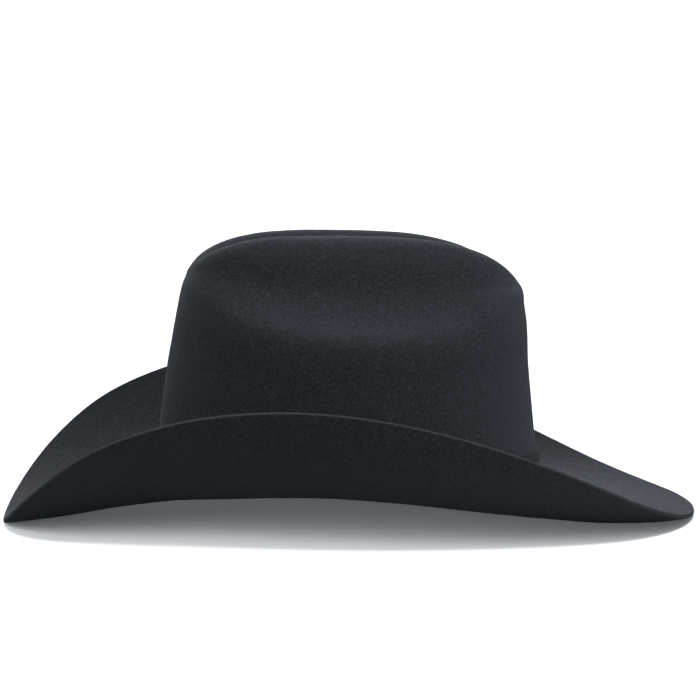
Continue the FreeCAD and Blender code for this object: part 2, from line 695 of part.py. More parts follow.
# --- keeper: a sheet-metal loop round the band's two layers ------------------------
k_out = doc.addObject("Part::Box", "keeper_outside")
bound(k_out, "Length", "Sizes.KeeperWide")
bound(k_out, "Width", "Sizes.KeeperInside + 2 * Sizes.KeeperSide")
k_out.Height = 3.13
k_out.Placement = FreeCAD.Placement(FreeCAD.Vector(-size("KeeperWide") / 2, -size("KeeperInside") / 2 - size("KeeperSide"), 0), FreeCAD.Rotation())
k_in = doc.addObject("Part::Box", "keeper_inside")
k_in.Length = 6.0
bound(k_in, "Width", "Sizes.KeeperInside")
k_in.Height = 2.53
k_in.Placement = FreeCAD.Placement(FreeCAD.Vector(-3.0, -size("KeeperInside") / 2, 0.22), FreeCAD.Rotation())
keeper = doc.addObject("Part::Cut", "band_keeper")
keeper.Label = "band_keeper"
keeper.Base = k_out
keeper.Tool = k_in
keeper.Placement = spot(size("KeeperAlong"), 3.2) * FreeCAD.Placement(FreeCAD.Vector(0, 0, -1.47), FreeCAD.Rotation())
PARTS.append(keeper)

# --- metal tip on the free end ------------------------------------------------------
tip = doc.addObject("PartDesign::Body", "band_tip")
tip.Label = "band_tip"
tl, tt_, tk = size("TipLong"), size("TipTall"), size("TipThick")
sk = tip.newObject("Sketcher::SketchObject", "tip_outline")
sk.AttachmentSupport = [(plane_of(tip, "XY_Plane"), "")]
sk.MapMode = "FlatFace"
V = FreeCAD.Vector
C = Sketcher.Constraint
r = tt_ / 2
sk.addGeometry(Part.LineSegment(V(tl - r, -r, 0), V(0, -r, 0)), False)
sk.addGeometry(Part.LineSegment(V(0, -r, 0), V(0, r, 0)), False)
sk.addGeometry(Part.LineSegment(V(0, r, 0), V(tl - r, r, 0)), False)
sk.addGeometry(Part.ArcOfCircle(Part.Circle(V(tl - r, 0, 0), V(0, 0, 1), r), -math.pi / 2, math.pi / 2), False)
sk.addConstraint(C("Coincident", 0, 2, 1, 1))
sk.addConstraint(C("Coincident", 1, 2, 2, 1))
sk.addConstraint(C("Tangent", 2, 2, 3, 2))
sk.addConstraint(C("Tangent", 0, 1, 3, 1))
sk.addConstraint(C("Vertical", 1))
sk.addConstraint(C("PointOnObject", 3, 3, -1))
_k = sk.addConstraint(C("DistanceX", -1, 1, 1, 1, 0.0))
_k = sk.addConstraint(C("DistanceY", 1, 1, 1, 2, tt_))
sk.setExpression("Constraints[%d]" % _k, "Sizes.TipTall")
_k = sk.addConstraint(C("DistanceX", -1, 1, 3, 3, tl - r))
sk.setExpression("Constraints[%d]" % _k, "Sizes.TipLong - Sizes.TipTall / 2")
pad = tip.newObject("PartDesign::Pad", "tip_pad")
pad.Profile = sk
pad.Length = tk
bound(pad, "Length", "Sizes.TipThick")
sk2 = tip.newObject("Sketcher::SketchObject", "tip_mouth")
sk2.AttachmentSupport = [(plane_of(tip, "YZ_Plane"), "")]
sk2.MapMode = "FlatFace"
rectangle(sk2, -t_tall / 2 - .12, 0.22, t_tall / 2 + .12, 0.5 + t_thick, ["-Sizes.TongueTall / 2 - 0.12", "0.22", "Sizes.TongueTall / 2 + 0.12", "0.5 + Sizes.TongueThick"])
mouth = tip.newObject("PartDesign::Pocket", "tip_mouth_cut")
mouth.Profile = sk2
mouth.Length = 3.4
doc.recompute()
if mouth.Shape.isNull() or mouth.Shape.Volume > pad.Shape.Volume - 1.0:
    mouth.Reversed = True
    doc.recompute()
print("tip", round(pad.Shape.Volume, 1), round(mouth.Shape.Volume, 1))
tip.Tip = mouth
tip.Placement = spot(size("TongueBack") - 3.2, size("BarOut") + 1.13) * FreeCAD.Placement(FreeCAD.Vector(0, 0, -0.92), FreeCAD.Rotation())
PARTS.append(tip)


# --- small groups of thread ----------------------------------------------------------
def thread(p, q, radius):
    """One stitch: a straight piece of thread from p to q."""
    a, b = FreeCAD.Vector(*p), FreeCAD.Vector(*q)
    return Part.makeCylinder(radius, (b - a).Length, a, b - a)


def at(p):
    return (p[0] + DX, p[1], p[2] + DZ)


st_r, st_l = size("StitchRadius"), size("StitchLong")
tacks = []
for deg in (12, 168, 192, 348):
    t = math.radians(deg)
    w = st_l / 2 / math.hypot(A0 * math.sin(t), B0 * math.cos(t))
    d = band_out + st_r + 0.05
    tacks.append(thread(at(round_wall(t - w, band_low + 1.2, d)), at(round_wall(t + w, band_low + 1.2, d)), st_r))
PARTS.append(feature("hatband_tacks", Part.makeCompound(tacks)))

# --- sweatband, its reed, tape and stitching -------------------------------------------
s_in, s_th = size("SweatIn"), size("SweatThick")
s_lo, s_hi = size("SweatLow"), size("SweatHigh")
PARTS.append(feature("sweatband", ring(lambda t, v, w: round_wall(t, mix(s_lo, s_hi, v), -(s_in + s_th) + s_th * w), 8)))
tp_in, tp_th = size("TapeIn"), size("TapeThick")
PARTS.append(feature("sweatband_reed_tape", ring(lambda t, v, w: round_wall(t, mix(1.6, 9.0, v), -(tp_in + tp_th) + tp_th * w), 4)))
reed_r = size("ReedRadius")


def cord_ring(point, half):
    """A thin closed cord round the hat, with a flattened section; point(t, inward, up)."""
    return ring(lambda t, v, w: point(t, half * (2 * w - 1), half * (2 * v - 1)), 3)


PARTS.append(feature("sweatband_reed", cord_ring(lambda t, out, up: round_wall(t, size("ReedHigh") + up, -size("ReedIn") + out), 0.9 * reed_r)))
stitches = []
n_st = 96
for i in range(n_st):
    t = 2 * math.pi * (i + 0.5) / n_st
    w = st_l / 2 / math.hypot(A0 * math.sin(t), B0 * math.cos(t))
    d = -(s_in + s_th + st_r + 0.06)
    stitches.append(thread(at(round_wall(t - w, 4.6, d)), at(round_wall(t + w, 4.6, d)), st_r))
PARTS.append(feature("sweatband_stitches", Part.makeCompound(stitches)))
zig = []
for i in range(9):
    h0 = 13.0 + 4.6 * i
    w = 0.018
    d = -(s_in + s_th + st_r + 0.10)
    zig.append(thread(at(round_wall(math.pi - w, h0, d)), at(round_wall(math.pi + w, h0 + 2.0, d)), st_r))
PARTS.append(feature("sweatband_seam", Part.makeCompound(zig)))
lab0, lab1 = math.radians(146.0), math.radians(154.5)
PARTS.append(feature("size_label", patch(lambda t, v, w: round_wall(t, mix(22.0, 32.0, v), -(s_in + s_th + 0.35) + 0.28 * w), lab0, lab1, 4, 5)))

# --- bow at the back of the sweatband ---------------------------------------------------
loops = []
for side, name in ((-1, "right"), (1, "left")):
    e = doc.addObject("Part::Box", "bow_loop_" + name)
    bound(e, "Length", "Sizes.BowLong / 2")
    bound(e, "Width", "Sizes.BowTall")
    bound(e, "Height", "Sizes.BowThick")
    x0 = 0.0 if side > 0 else -size("BowLong") / 2
    e.Placement = FreeCAD.Placement(FreeCAD.Vector(x0, -size("BowTall") / 2, -size("BowThick") / 2), FreeCAD.Rotation())
    loops.append(e)
knot = doc.addObject("Part::Box", "bow_knot")
knot.Length = 2.6
knot.Width = 3.6
knot.Height = 2.0
knot.Placement = FreeCAD.Placement(FreeCAD.Vector(-1.3, -1.8, -1.0), FreeCAD.Rotation())
bow = doc.addObject("Part::MultiFuse", "sweatband_bow")
bow.Label = "sweatband_bow"
bow.Shapes = loops + [knot]
bp = at(round_wall(math.pi, 8.5, -(s_in + s_th + 1.15 + 0.55)))
bow.Placement = FreeCAD.Placement(FreeCAD.Vector(*bp), FreeCAD.Rotation(FreeCAD.Vector(0, 1, 0), FreeCAD.Vector(0, 0, 1), FreeCAD.Vector(1, 0, 0), "XYZ"))
PARTS.append(bow)

# --- lining -----------------------------------------------------------------------------
l_th, l_top = size("LiningThick"), size("LiningTopHeight")
l_a, l_b, l_x = size("LiningHalfLength"), size("LiningHalfWidth"), size("LiningTopX")


def lining_point(t, v, w):
    """Side panel: hangs inside the wall, draws in to the tip's oval at the top."""
    low = round_wall(t, 14.0, -(3.05 + l_th) + l_th * w)
    z0 = low[2]
    z = mix(z0, l_top - 1.2, v)
    x, y, _ = round_wall(t, z - break_height(t), -(3.05 + l_th) + l_th * w)
    tx, ty = l_x + (l_a - 0.6 + l_th * w) * math.cos(t), (l_b - 0.6 + l_th * w) * math.sin(t)
    g = max(0.0, (z - 87.0) / (l_top - 1.2 - 87.0))
    g = g * g * (3 - 2 * g)
    return mix(x, tx, g), mix(y, ty, g), z


PARTS.append(feature("lining_side", ring(lining_point, 15, 31)))
oval = doc.addObject("Part::Ellipse", "lining_tip_outline")
bound(oval, "MajorRadius", "Sizes.LiningHalfLength - 0.4")
bound(oval, "MinorRadius", "Sizes.LiningHalfWidth - 0.4")
oval.Placement = FreeCAD.Placement(FreeCAD.Vector(l_x + DX, 0, l_top + DZ), FreeCAD.Rotation())
lid = doc.addObject("Part::Extrusion", "lining_tip")
lid.Label = "lining_tip"
lid.Base = oval
lid.DirMode = "Custom"
lid.Dir = FreeCAD.Vector(0, 0, 1)
bound(lid, "LengthFwd", "Sizes.LiningThick")
lid.Solid = True
PARTS.append(lid)
PARTS.append(feature("lining_piping", cord_ring(lambda t, out, up: (l_x + (l_a + 0.55 + out) * math.cos(t), (l_b + 0.55 + out) * math.sin(t), l_top + 0.1 + up), 0.9 * size("PipingRadius"))))
oval2 = doc.addObject("Part::Ellipse", "tip_protector_outline")
bound(oval2, "MajorRadius", "Sizes.ProtectorHalfLength")
bound(oval2, "MinorRadius", "Sizes.ProtectorHalfWidth")
oval2.Placement = FreeCAD.Placement(FreeCAD.Vector(l_x + DX, 0, l_top + DZ - 0.30), FreeCAD.Rotation())
guard = doc.addObject("Part::Extrusion", "tip_protector")
guard.Label = "tip_protector"
guard.Base = oval2
guard.DirMode = "Custom"
guard.Dir = FreeCAD.Vector(0, 0, 1)
bound(guard, "LengthFwd", "Sizes.ProtectorThick")
guard.Solid = True
PARTS.append(guard)

# --- check and write ---------------------------------------------------------------------
doc.recompute()
bad = [o.Name for o in doc.Objects if "Invalid" in o.State or "Error" in o.State]
if bad:
    raise RuntimeError("objects failed: %s" % bad)
for o in PARTS:
    if o.Shape.isNull() or not o.Shape.isValid():
        raise RuntimeError("shape of %s is null or not valid" % o.Label)
    if not o.Shape.Solids:
        raise RuntimeError("%s holds no solid" % o.Label)
os.makedirs("parts", exist_ok=True)
for o in PARTS:
    o.Shape.exportStep("parts/%s.step" % o.Label)
    b = o.Shape.BoundBox
    print("%-22s solids %3d faces %4d volume %10.1f  x %.1f..%.1f y %.1f..%.1f z %.1f..%.1f" % (o.Label, len(o.Shape.Solids), len(o.Shape.Faces), o.Shape.Volume, b.XMin, b.XMax, b.YMin, b.YMax, b.ZMin, b.ZMax))
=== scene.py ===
import math
import bmesh
import bpy
import numpy as np
from mathutils import Vector, Matrix, Quaternion, noise


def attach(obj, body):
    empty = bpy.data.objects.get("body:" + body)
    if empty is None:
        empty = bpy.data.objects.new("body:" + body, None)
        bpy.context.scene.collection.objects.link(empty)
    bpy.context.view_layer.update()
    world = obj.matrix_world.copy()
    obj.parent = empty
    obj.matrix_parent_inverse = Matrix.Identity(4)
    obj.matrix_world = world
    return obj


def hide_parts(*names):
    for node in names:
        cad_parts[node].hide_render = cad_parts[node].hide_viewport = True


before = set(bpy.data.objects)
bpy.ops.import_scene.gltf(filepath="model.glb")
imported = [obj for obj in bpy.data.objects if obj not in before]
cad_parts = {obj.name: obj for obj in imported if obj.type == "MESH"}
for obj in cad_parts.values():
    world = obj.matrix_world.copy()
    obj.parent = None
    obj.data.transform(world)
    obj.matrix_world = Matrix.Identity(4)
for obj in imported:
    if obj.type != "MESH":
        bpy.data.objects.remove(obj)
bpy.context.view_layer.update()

MM = 0.001
scene = bpy.context.scene

# =============================================================================
# The hat's shape, the same functions as in the CAD part (millimetres there,
# turned into metres when a mesh is made). t is the angle round the crown's
# oval: 0 at the front, pi at the back.
# =============================================================================
A0, B0 = 107.5, 88.5
THICK = 2.6
DX, DZ = -0.76, -0.25
ZB = [25.0274, 1.7115, -2.1742]
LW = [92.13, 1.555, -3.02]
F0 = [-20.9701, -7.1597, -9.2387, 5.935, 1.5754, -0.9742]
F1 = [42.9518, -1.114, -39.4692, 3.1947, -2.4178, 3.7965, 0.8907]
PW = [0.9689, -0.1468, 0.433]
WF = [0.1255, -0.5631e-3]
WB = [0.0514, 0.863e-3]
WS = 0.0999
CF, CB = 92.81, -86.06
CW = [34.741, 2.46, 0.558]
CN = 0.42
CZ = [157.511, -3.10, -5.658, -18.985, -8.947]
CDROP = 2.0
XS = (66.0, -60.0)
STATIONS = [0, 15, 30, 37, 45, 53, 65, 79, 95, 110, 125, 137, 150, 165, 180]
TABLES = {
    "ShoulderHeight": [117, 117, 117, 115.5, 111, 106, 102.5, 101.5, 102.5, 105, 109.5, 115.5, 122.5, 128.5, 130.5],
    "ShoulderInset": [1.0, 1.0, 1.0, .9, 1.0, 1.3, 1.4, 1.4, 1.4, 1.4, 1.3, 1.0, .5, .1, .0],
    "LedgeReach": [.18, .19, .17, .18, .20, .24, .26, .27, .27, .27, .26, .22, .17, .19, .30],
    "LedgeHeight": [123.6, 123.8, 124, 123, 119.5, 115.5, 112.3, 111.5, 112.4, 115, 119, 124, 129.7, 134.0, 135.4],
    "FaceReach": [.45, .43, .42, .44, .48, .53, .56, .57, .57, .57, .56, .50, .43, .47, .60],
    "FaceHeight": [128.1, 128.5, 129.6, 130.2, 129.8, 129.6, 130, 130.5, 131, 132, 133.5, 136.2, 138.4, 139.0, 139.1],
    "BrowReach": [.68, .68, .71, .75, .79, .82, .83, .83, .83, .83, .82, .79, .76, .78, .82],
    "BrowDrop": [1.2, 1.3, 1.8, 2.2, 2.6, 2.9, 3.0, 3.0, 3.0, 3.0, 2.9, 2.5, 1.8, 1.2, 1.0],
}
BAND_LOW, BAND_TALL, BAND_IN, BAND_OUT = 4.6, 7.0, 0.15, 1.65
BAND_MID = BAND_LOW + BAND_TALL / 2
T_BAR = math.radians(84.0)
BAR_OUT = 2.68


def spline(xs, ys, slope0=0.0, slope1=0.0):
    """Cubic spline through (xs, ys) with given end slopes; returns a function."""
    n = len(xs)
    h = [xs[i + 1] - xs[i] for i in range(n - 1)]
    a, b, c, d = [0.0] * n, [0.0] * n, [0.0] * n, [0.0] * n
    b[0] = 2 * h[0]
    c[0] = h[0]
    d[0] = 6 * ((ys[1] - ys[0]) / h[0] - slope0)
    for i in range(1, n - 1):
        a[i] = h[i - 1]
        b[i] = 2 * (h[i - 1] + h[i])
        c[i] = h[i]
        d[i] = 6 * ((ys[i + 1] - ys[i]) / h[i] - (ys[i] - ys[i - 1]) / h[i - 1])
    a[n - 1] = h[-1]
    b[n - 1] = 2 * h[-1]
    d[n - 1] = 6 * (slope1 - (ys[-1] - ys[-2]) / h[-1])
    for i in range(1, n):
        m = a[i] / b[i - 1]
        b[i] -= m * c[i - 1]
        d[i] -= m * d[i - 1]
    M = [0.0] * n
    M[-1] = d[-1] / b[-1]
    for i in range(n - 2, -1, -1):
        M[i] = (d[i] - c[i] * M[i + 1]) / b[i]

    def f(x):
        x = min(max(x, xs[0]), xs[-1])
        lo, hi = 0, n - 1
        while hi - lo > 1:
            k = (lo + hi) // 2
            if xs[k] > x:
                hi = k
            else:
                lo = k
        H = h[lo]
        A = (xs[lo + 1] - x) / H
        B = (x - xs[lo]) / H
        return A * ys[lo] + B * ys[lo + 1] + ((A ** 3 - A) * M[lo] + (B ** 3 - B) * M[lo + 1]) * H * H / 6
    return f


def four(c, t):
    return sum(c[k] * math.cos(k * t) for k in range(len(c)))


TABLE = {k: spline([math.radians(a) for a in STATIONS], v) for k, v in TABLES.items()}
FLOOR = spline([XS[1], -30.0, 0.0, 30.0, XS[0]], [133.0, 132.6, 131.0, 127.6, 121.5], 0.0, -0.15)


def wall(t, h):
    """Outer face of the crown's wall, h above the break."""
    xf = A0 - WF[0] * h - WF[1] * h * h
    xb = -(A0 - WB[0] * h - WB[1] * h * h)
    return (xf + xb) / 2 + (xf - xb) / 2 * math.cos(t), (B0 - WS * h) * math.sin(t)


def break_height(t):
    return ZB[0] + ZB[1] * math.cos(t) + ZB[2] * math.cos(2 * t)


def crest(t):
    c = math.cos(t)
    s = math.sin(t) * (1 + CN * c * c)
    x = (CF + CB) / 2 + (CF - CB) / 2 * c
    r = x / 100
    z = CZ[0] + CZ[1] * r + CZ[2] * r ** 2 + CZ[3] * r ** 4 + CZ[4] * r ** 8
    z -= CDROP * math.exp(-((math.pi - t) / 0.45) ** 2)
    return x, (CW[0] + CW[1] * r + CW[2] * r * r) * s, z


def crease(t):
    x = XS[0] + (XS[1] - XS[0]) * t / math.pi
    return x, 0.0, FLOOR(x)


def brim(t, fractions):
    """Upper face of the brim at the given fractions of its width."""
    a0 = math.radians(four(F0, t))
    a1 = math.radians(four(F1, t))
    pw = max(0.6, PW[0] + PW[1] * math.cos(2 * t) + PW[2] * math.cos(t))
    L = LW[0] + LW[1] * math.cos(t) + LW[2] * math.cos(2 * t)
    nx, ny = math.cos(t) / A0, math.sin(t) / B0
    k = math.hypot(nx, ny)
    nx, ny = nx / k, ny / k
    N = 48
    prev = a0
    O, U = [0.0], [0.0]
    for i in range(1, N + 1):
        phi = a0 + (a1 - a0) * (i / N) ** pw
        O.append(O[-1] + L / N * (math.cos(phi) + math.cos(prev)) / 2)
        U.append(U[-1] + L / N * (math.sin(phi) + math.sin(prev)) / 2)
        prev = phi
    out = []
    for s in fractions:
        i = min(int(s * N), N - 1)
        w = s * N - i
        o = O[i] + (O[i + 1] - O[i]) * w
        u = U[i] + (U[i + 1] - U[i]) * w
        out.append((A0 * math.cos(t) + o * nx, B0 * math.sin(t) + o * ny, break_height(t) + u))
    return out


BRIM_AT = [1.0, .95, .88, .79, .69, .58, .47, .36, .26, .17, .105, .055]
WALL_AT = [5.5, 13.0, 25.0, 42.0]


def knots(t):
    """Points of the felt's outer face at angle t, from the brim's edge to the crease."""
    pts = brim(t, BRIM_AT)
    zb = break_height(t)
    x1, y1 = wall(t, WALL_AT[0])
    p0, p1 = pts[-1], (x1, y1, zb + WALL_AT[0])
    corner = (A0 * math.cos(t), B0 * math.sin(t), zb)
    mid = [(p0[i] + p1[i]) / 2 for i in range(3)]
    pts.append(tuple((mid[i] + corner[i]) / 2 for i in range(3)))
    zs = TABLE["ShoulderHeight"](t)
    cx, cy, cz = crest(t)
    for h in WALL_AT:
        x, y = wall(t, h)
        pts.append((x, y, zb + h))
    for h in ((WALL_AT[-1] + zs - zb - 8.0) / 2, zs - zb - 8.0):
        x, y = wall(t, h)
        pts.append((x, y, zb + h))
    x, y = wall(t, zs - zb)
    inset = TABLE["ShoulderInset"](t) / math.hypot(cx - x, cy - y)
    pts.append((x + (cx - x) * inset, y + (cy - y) * inset, zs))
    for k, kz in (("LedgeReach", "LedgeHeight"), ("FaceReach", "FaceHeight")):
        f, z = TABLE[k](t), TABLE[kz](t)
        wx, wy = wall(t, zs - zb + 0.5 * (z - zs))
        pts.append((wx + (cx - wx) * f, wy + (cy - wy) * f, z))
    f = TABLE["BrowReach"](t)
    pts.append((x + (cx - x) * f, y + (cy - y) * f, cz - TABLE["BrowDrop"](t)))
    pts.append((cx, cy, cz))
    sx, sy, sz = crease(t)
    dep = cz - sz
    pts.append((cx + (sx - cx) * .22, cy * .78, cz - dep * .20))
    pts.append((cx + (sx - cx) * .58, cy * .42, cz - dep * .77))
    pts.append((sx, sy, sz))
    return pts


def profile(t):
    K = knots(t)
    u = [0.0]
    for i in range(1, len(K)):
        u.append(u[-1] + math.dist(K[i], K[i - 1]))
    a, b = K[-2], K[-1]
    d = math.hypot(b[0] - a[0], b[1] - a[1])
    lo, hi = max(b[0] - .01, XS[1]), min(b[0] + .01, XS[0])
    slope = (FLOOR(hi) - FLOOR(lo)) / (hi - lo)
    dx, dy = (b[0] - a[0]) / d, (b[1] - a[1]) / d
    s1 = (dx * .9, dy * .9, dx * slope * .9)
    dd = math.dist(K[0], K[1])
    s0 = [(K[1][i] - K[0][i]) / dd for i in range(3)]
    return u, [spline(u, [k[c] for k in K], s0[c], s1[c]) for c in range(3)]


_u90 = profile(math.pi / 2)[0]
SPLIT = [2 if _u90[i + 1] - _u90[i] > 9.0 else 1 for i in range(len(_u90) - 1)]


def column(t):
    """The felt's outer face at angle t, sampled from edge to crease."""
    u, f = profile(t)
    out = []
    for k in range(len(u) - 1):
        for j in range(SPLIT[k]):
            w = u[k] + (u[k + 1] - u[k]) * j / SPLIT[k]
            out.append(tuple(g(w) for g in f))
    out.append(tuple(g(u[-1]) for g in f))
    return out


HALF = 31
ANGLES = [math.pi * i / (HALF - 1) for i in range(HALF)]


def outer_and_inner(depth):
    """Grids over half the hat: the felt's outer face, and the face `depth` inside it."""
    e = 0.004
    outer, inner = [], []
    for t in ANGLES:
        C = column(t)
        lo, hi = column(max(t - e, 0.0)), column(min(t + e, math.pi))
        last = len(C) - 1
        row = []
        for j, p in enumerate(C):
            a, b = C[max(j - 1, 0)], C[min(j + 1, last)]
            if 0 < j < last:
                u1, u2 = math.dist(a, p), math.dist(p, b)
                tw = [(p[c] - a[c]) / u1 * u2 + (b[c] - p[c]) / u2 * u1 for c in range(3)]
            else:
                tw = [b[c] - a[c] for c in range(3)]
            tt = [hi[j][c] - lo[j][c] for c in range(3)]
            if t in (ANGLES[0], ANGLES[-1]):
                tt = [0.0, 1.0 if t == ANGLES[0] else -1.0, 0.0]
            if j == last:
                x = p[0]
                l2, h2 = max(x - .01, XS[1]), min(x + .01, XS[0])
                s = (FLOOR(h2) - FLOOR(l2)) / (h2 - l2)
                n = [-s, 0.0, 1.0]
            else:
                n = [tt[1] * tw[2] - tt[2] * tw[1], tt[2] * tw[0] - tt[0] * tw[2], tt[0] * tw[1] - tt[1] * tw[0]]
            k = math.sqrt(sum(v * v for v in n))
            n = [v / k for v in n]
            fade = max(0.0, (j - (last - 6)) / 5.0)
            if fade > 0.0:
                fade = min(fade, 1.0)
                n = [n[0] * (1 - fade), n[1] * (1 - fade), n[2] * (1 - fade) + fade]
                k = math.sqrt(sum(v * v for v in n))
                n = [v / k for v in n]
            if t in (ANGLES[0], ANGLES[-1]):
                n[1] = 0.0
            row.append(tuple(p[c] - depth * n[c] for c in range(3)))
        outer.append(C)
        inner.append(row)
    return outer, inner


def through(values, ends):
    """Coefficients of the uniform cubic B-spline through the values, along axis 0."""
    V = np.array(values, float)
    n = len(V)
    a, b, c = np.ones(n), np.full(n, 4.0), np.ones(n)
    d = 6.0 * V
    if ends == "free":
        b[0], c[0], d[0] = 1.0, 0.0, V[0]
        b[-1], a[-1], d[-1] = 1.0, 0.0, V[-1]
    elif ends == "even":
        c[0] = a[-1] = 2.0
    else:
        b[0], c[0], d[0] = 1.0, 0.0, 0.0
        b[-1], a[-1], d[-1] = 1.0, 0.0, 0.0
    for i in range(1, n):
        m = a[i] / b[i - 1]
        b[i] -= m * c[i - 1]
        d[i] = d[i] - m * d[i - 1]
    x = np.zeros_like(d)
    x[-1] = d[-1] / b[-1]
    for i in range(n - 2, -1, -1):
        x[i] = (d[i] - c[i] * x[i + 1]) / b[i]
    if ends == "free":
        return np.concatenate([[2 * x[0] - x[1]], x, [2 * x[-1] - x[-2]]])
    if ends == "even":
        return np.concatenate([[x[1]], x, [x[-2]]])
    return np.concatenate([[-x[1]], x, [-x[-2]]])


def basis(n, at, slope=False):
    """Matrix that turns n + 2 coefficients into values (or slopes) at the parameters `at`, 0..n-1."""
    at = np.asarray(at, float)
    i = np.clip(np.floor(at).astype(int), 0, n - 2)
    f = at - i
    M = np.zeros((len(at), n + 2))
    r = np.arange(len(at))
    if slope:
        w = [-(1 - f) ** 2 / 2, (3 * f * f - 4 * f) / 2, (-3 * f * f + 2 * f + 1) / 2, f * f / 2]
    else:
        w = [(1 - f) ** 3 / 6, (3 * f ** 3 - 6 * f * f + 4) / 6, (-3 * f ** 3 + 3 * f * f + 3 * f + 1) / 6, f ** 3 / 6]
    for k in range(4):
        M[r, i + k] += w[k]
    return M


class Skin:
    """Smooth bicubic surface through a half-hat grid of points."""

    def __init__(self, grid):
        G = np.array(grid, float)
        self.n, self.m = G.shape[:2]
        poles = []
        for axis in range(3):
            rows = through(G[:, :, axis].T, "free").T
            poles.append(through(rows, "odd" if axis == 1 else "even"))
        self.poles = np.stack(poles, -1)

    def at(self, u, v):
        """Points for all u (0..n-1, round half the hat) by all v (0..m-1, edge to crease)."""
        return np.einsum("ai,ijk,bj->abk", basis(self.n, u), self.poles, basis(self.m, v))

    def slopes(self, u, v):
        return (np.einsum("ai,ijk,bj->abk", basis(self.n, u, True), self.poles, basis(self.m, v)),
                np.einsum("ai,ijk,bj->abk", basis(self.n, u), self.poles, basis(self.m, v, True)))


OUTER_GRID, INNER_GRID = outer_and_inner(THICK)
OUTER, INNER = Skin(OUTER_GRID), Skin(INNER_GRID)
LAST = OUTER.m - 1


def around(skin, n_t, v):
    """Points all round the hat: n_t columns (closed), one row per v; and the unit normals."""
    half = n_t // 2
    u = np.linspace(0, skin.n - 1, half + 1)
    P = skin.at(u, v)
    du, dv = skin.slopes(u, v)
    N = np.cross(du, dv)
    N /= np.maximum(np.linalg.norm(N, axis=-1, keepdims=True), 1e-9)
    flip = np.array([1.0, -1.0, 1.0])
    P = np.concatenate([P, (P * flip)[1:half][::-1]])
    N = np.concatenate([N, (N * flip)[1:half][::-1]])
    P = P + np.array([DX, 0.0, DZ])
    return P, N


# =============================================================================
# Mesh helpers
# =============================================================================
def new_mesh(name, verts, faces, material_index=None, smooth=True):
    me = bpy.data.meshes.new(name)
    me.from_pydata([tuple(v) for v in verts], [], faces)
    me.update()
    if material_index is not None:
        me.polygons.foreach_set("material_index", np.asarray(material_index, np.int32))
    if smooth:
        me.polygons.foreach_set("use_smooth", np.ones(len(me.polygons), bool))
    me.validate()
    ob = bpy.data.objects.new(name, me)
    scene.collection.objects.link(ob)
    return ob


def wobble(P, scale, seed):
    """Smooth deterministic noise at points P (mm), features about `scale` mm."""
    out = np.empty(len(P))
    for i, p in enumerate(P):
        out[i] = noise.noise(Vector((p[0] / scale + seed, p[1] / scale - seed * .7, p[2] / scale + seed * .3)))
    return out


# =============================================================================
# Felt body
# =============================================================================
N_T = 448


def spaced_rows(skin, step_of):
    """Parameters v along the profile, spaced so that each step is about step_of(v) mm at t = 90 degrees."""
    fine = np.linspace(0, skin.m - 1, 4001)
    P = skin.at([skin.n / 2 - .5], fine)[0]
    ds = np.linalg.norm(np.diff(P, axis=0), axis=1)
    want = np.array([1.0 / step_of(v) for v in (fine[1:] + fine[:-1]) / 2])
    c = np.concatenate([[0], np.cumsum(ds * want)])
    n = int(round(c[-1]))
    return np.interp(np.linspace(0, c[-1], n + 1), c, fine)


_rows_at = np.cumsum([0] + SPLIT)      # coarse row of each profile knot
FILLET = _rows_at[12]
SHOULDER = _rows_at[19]


def outer_step(v):
    if v < 1:
        return 1.6
    if v < FILLET - 4:
        return 3.4
    if v < FILLET + 3:
        return 1.5
    if v < SHOULDER - 2:
        return 3.6
    return 2.0


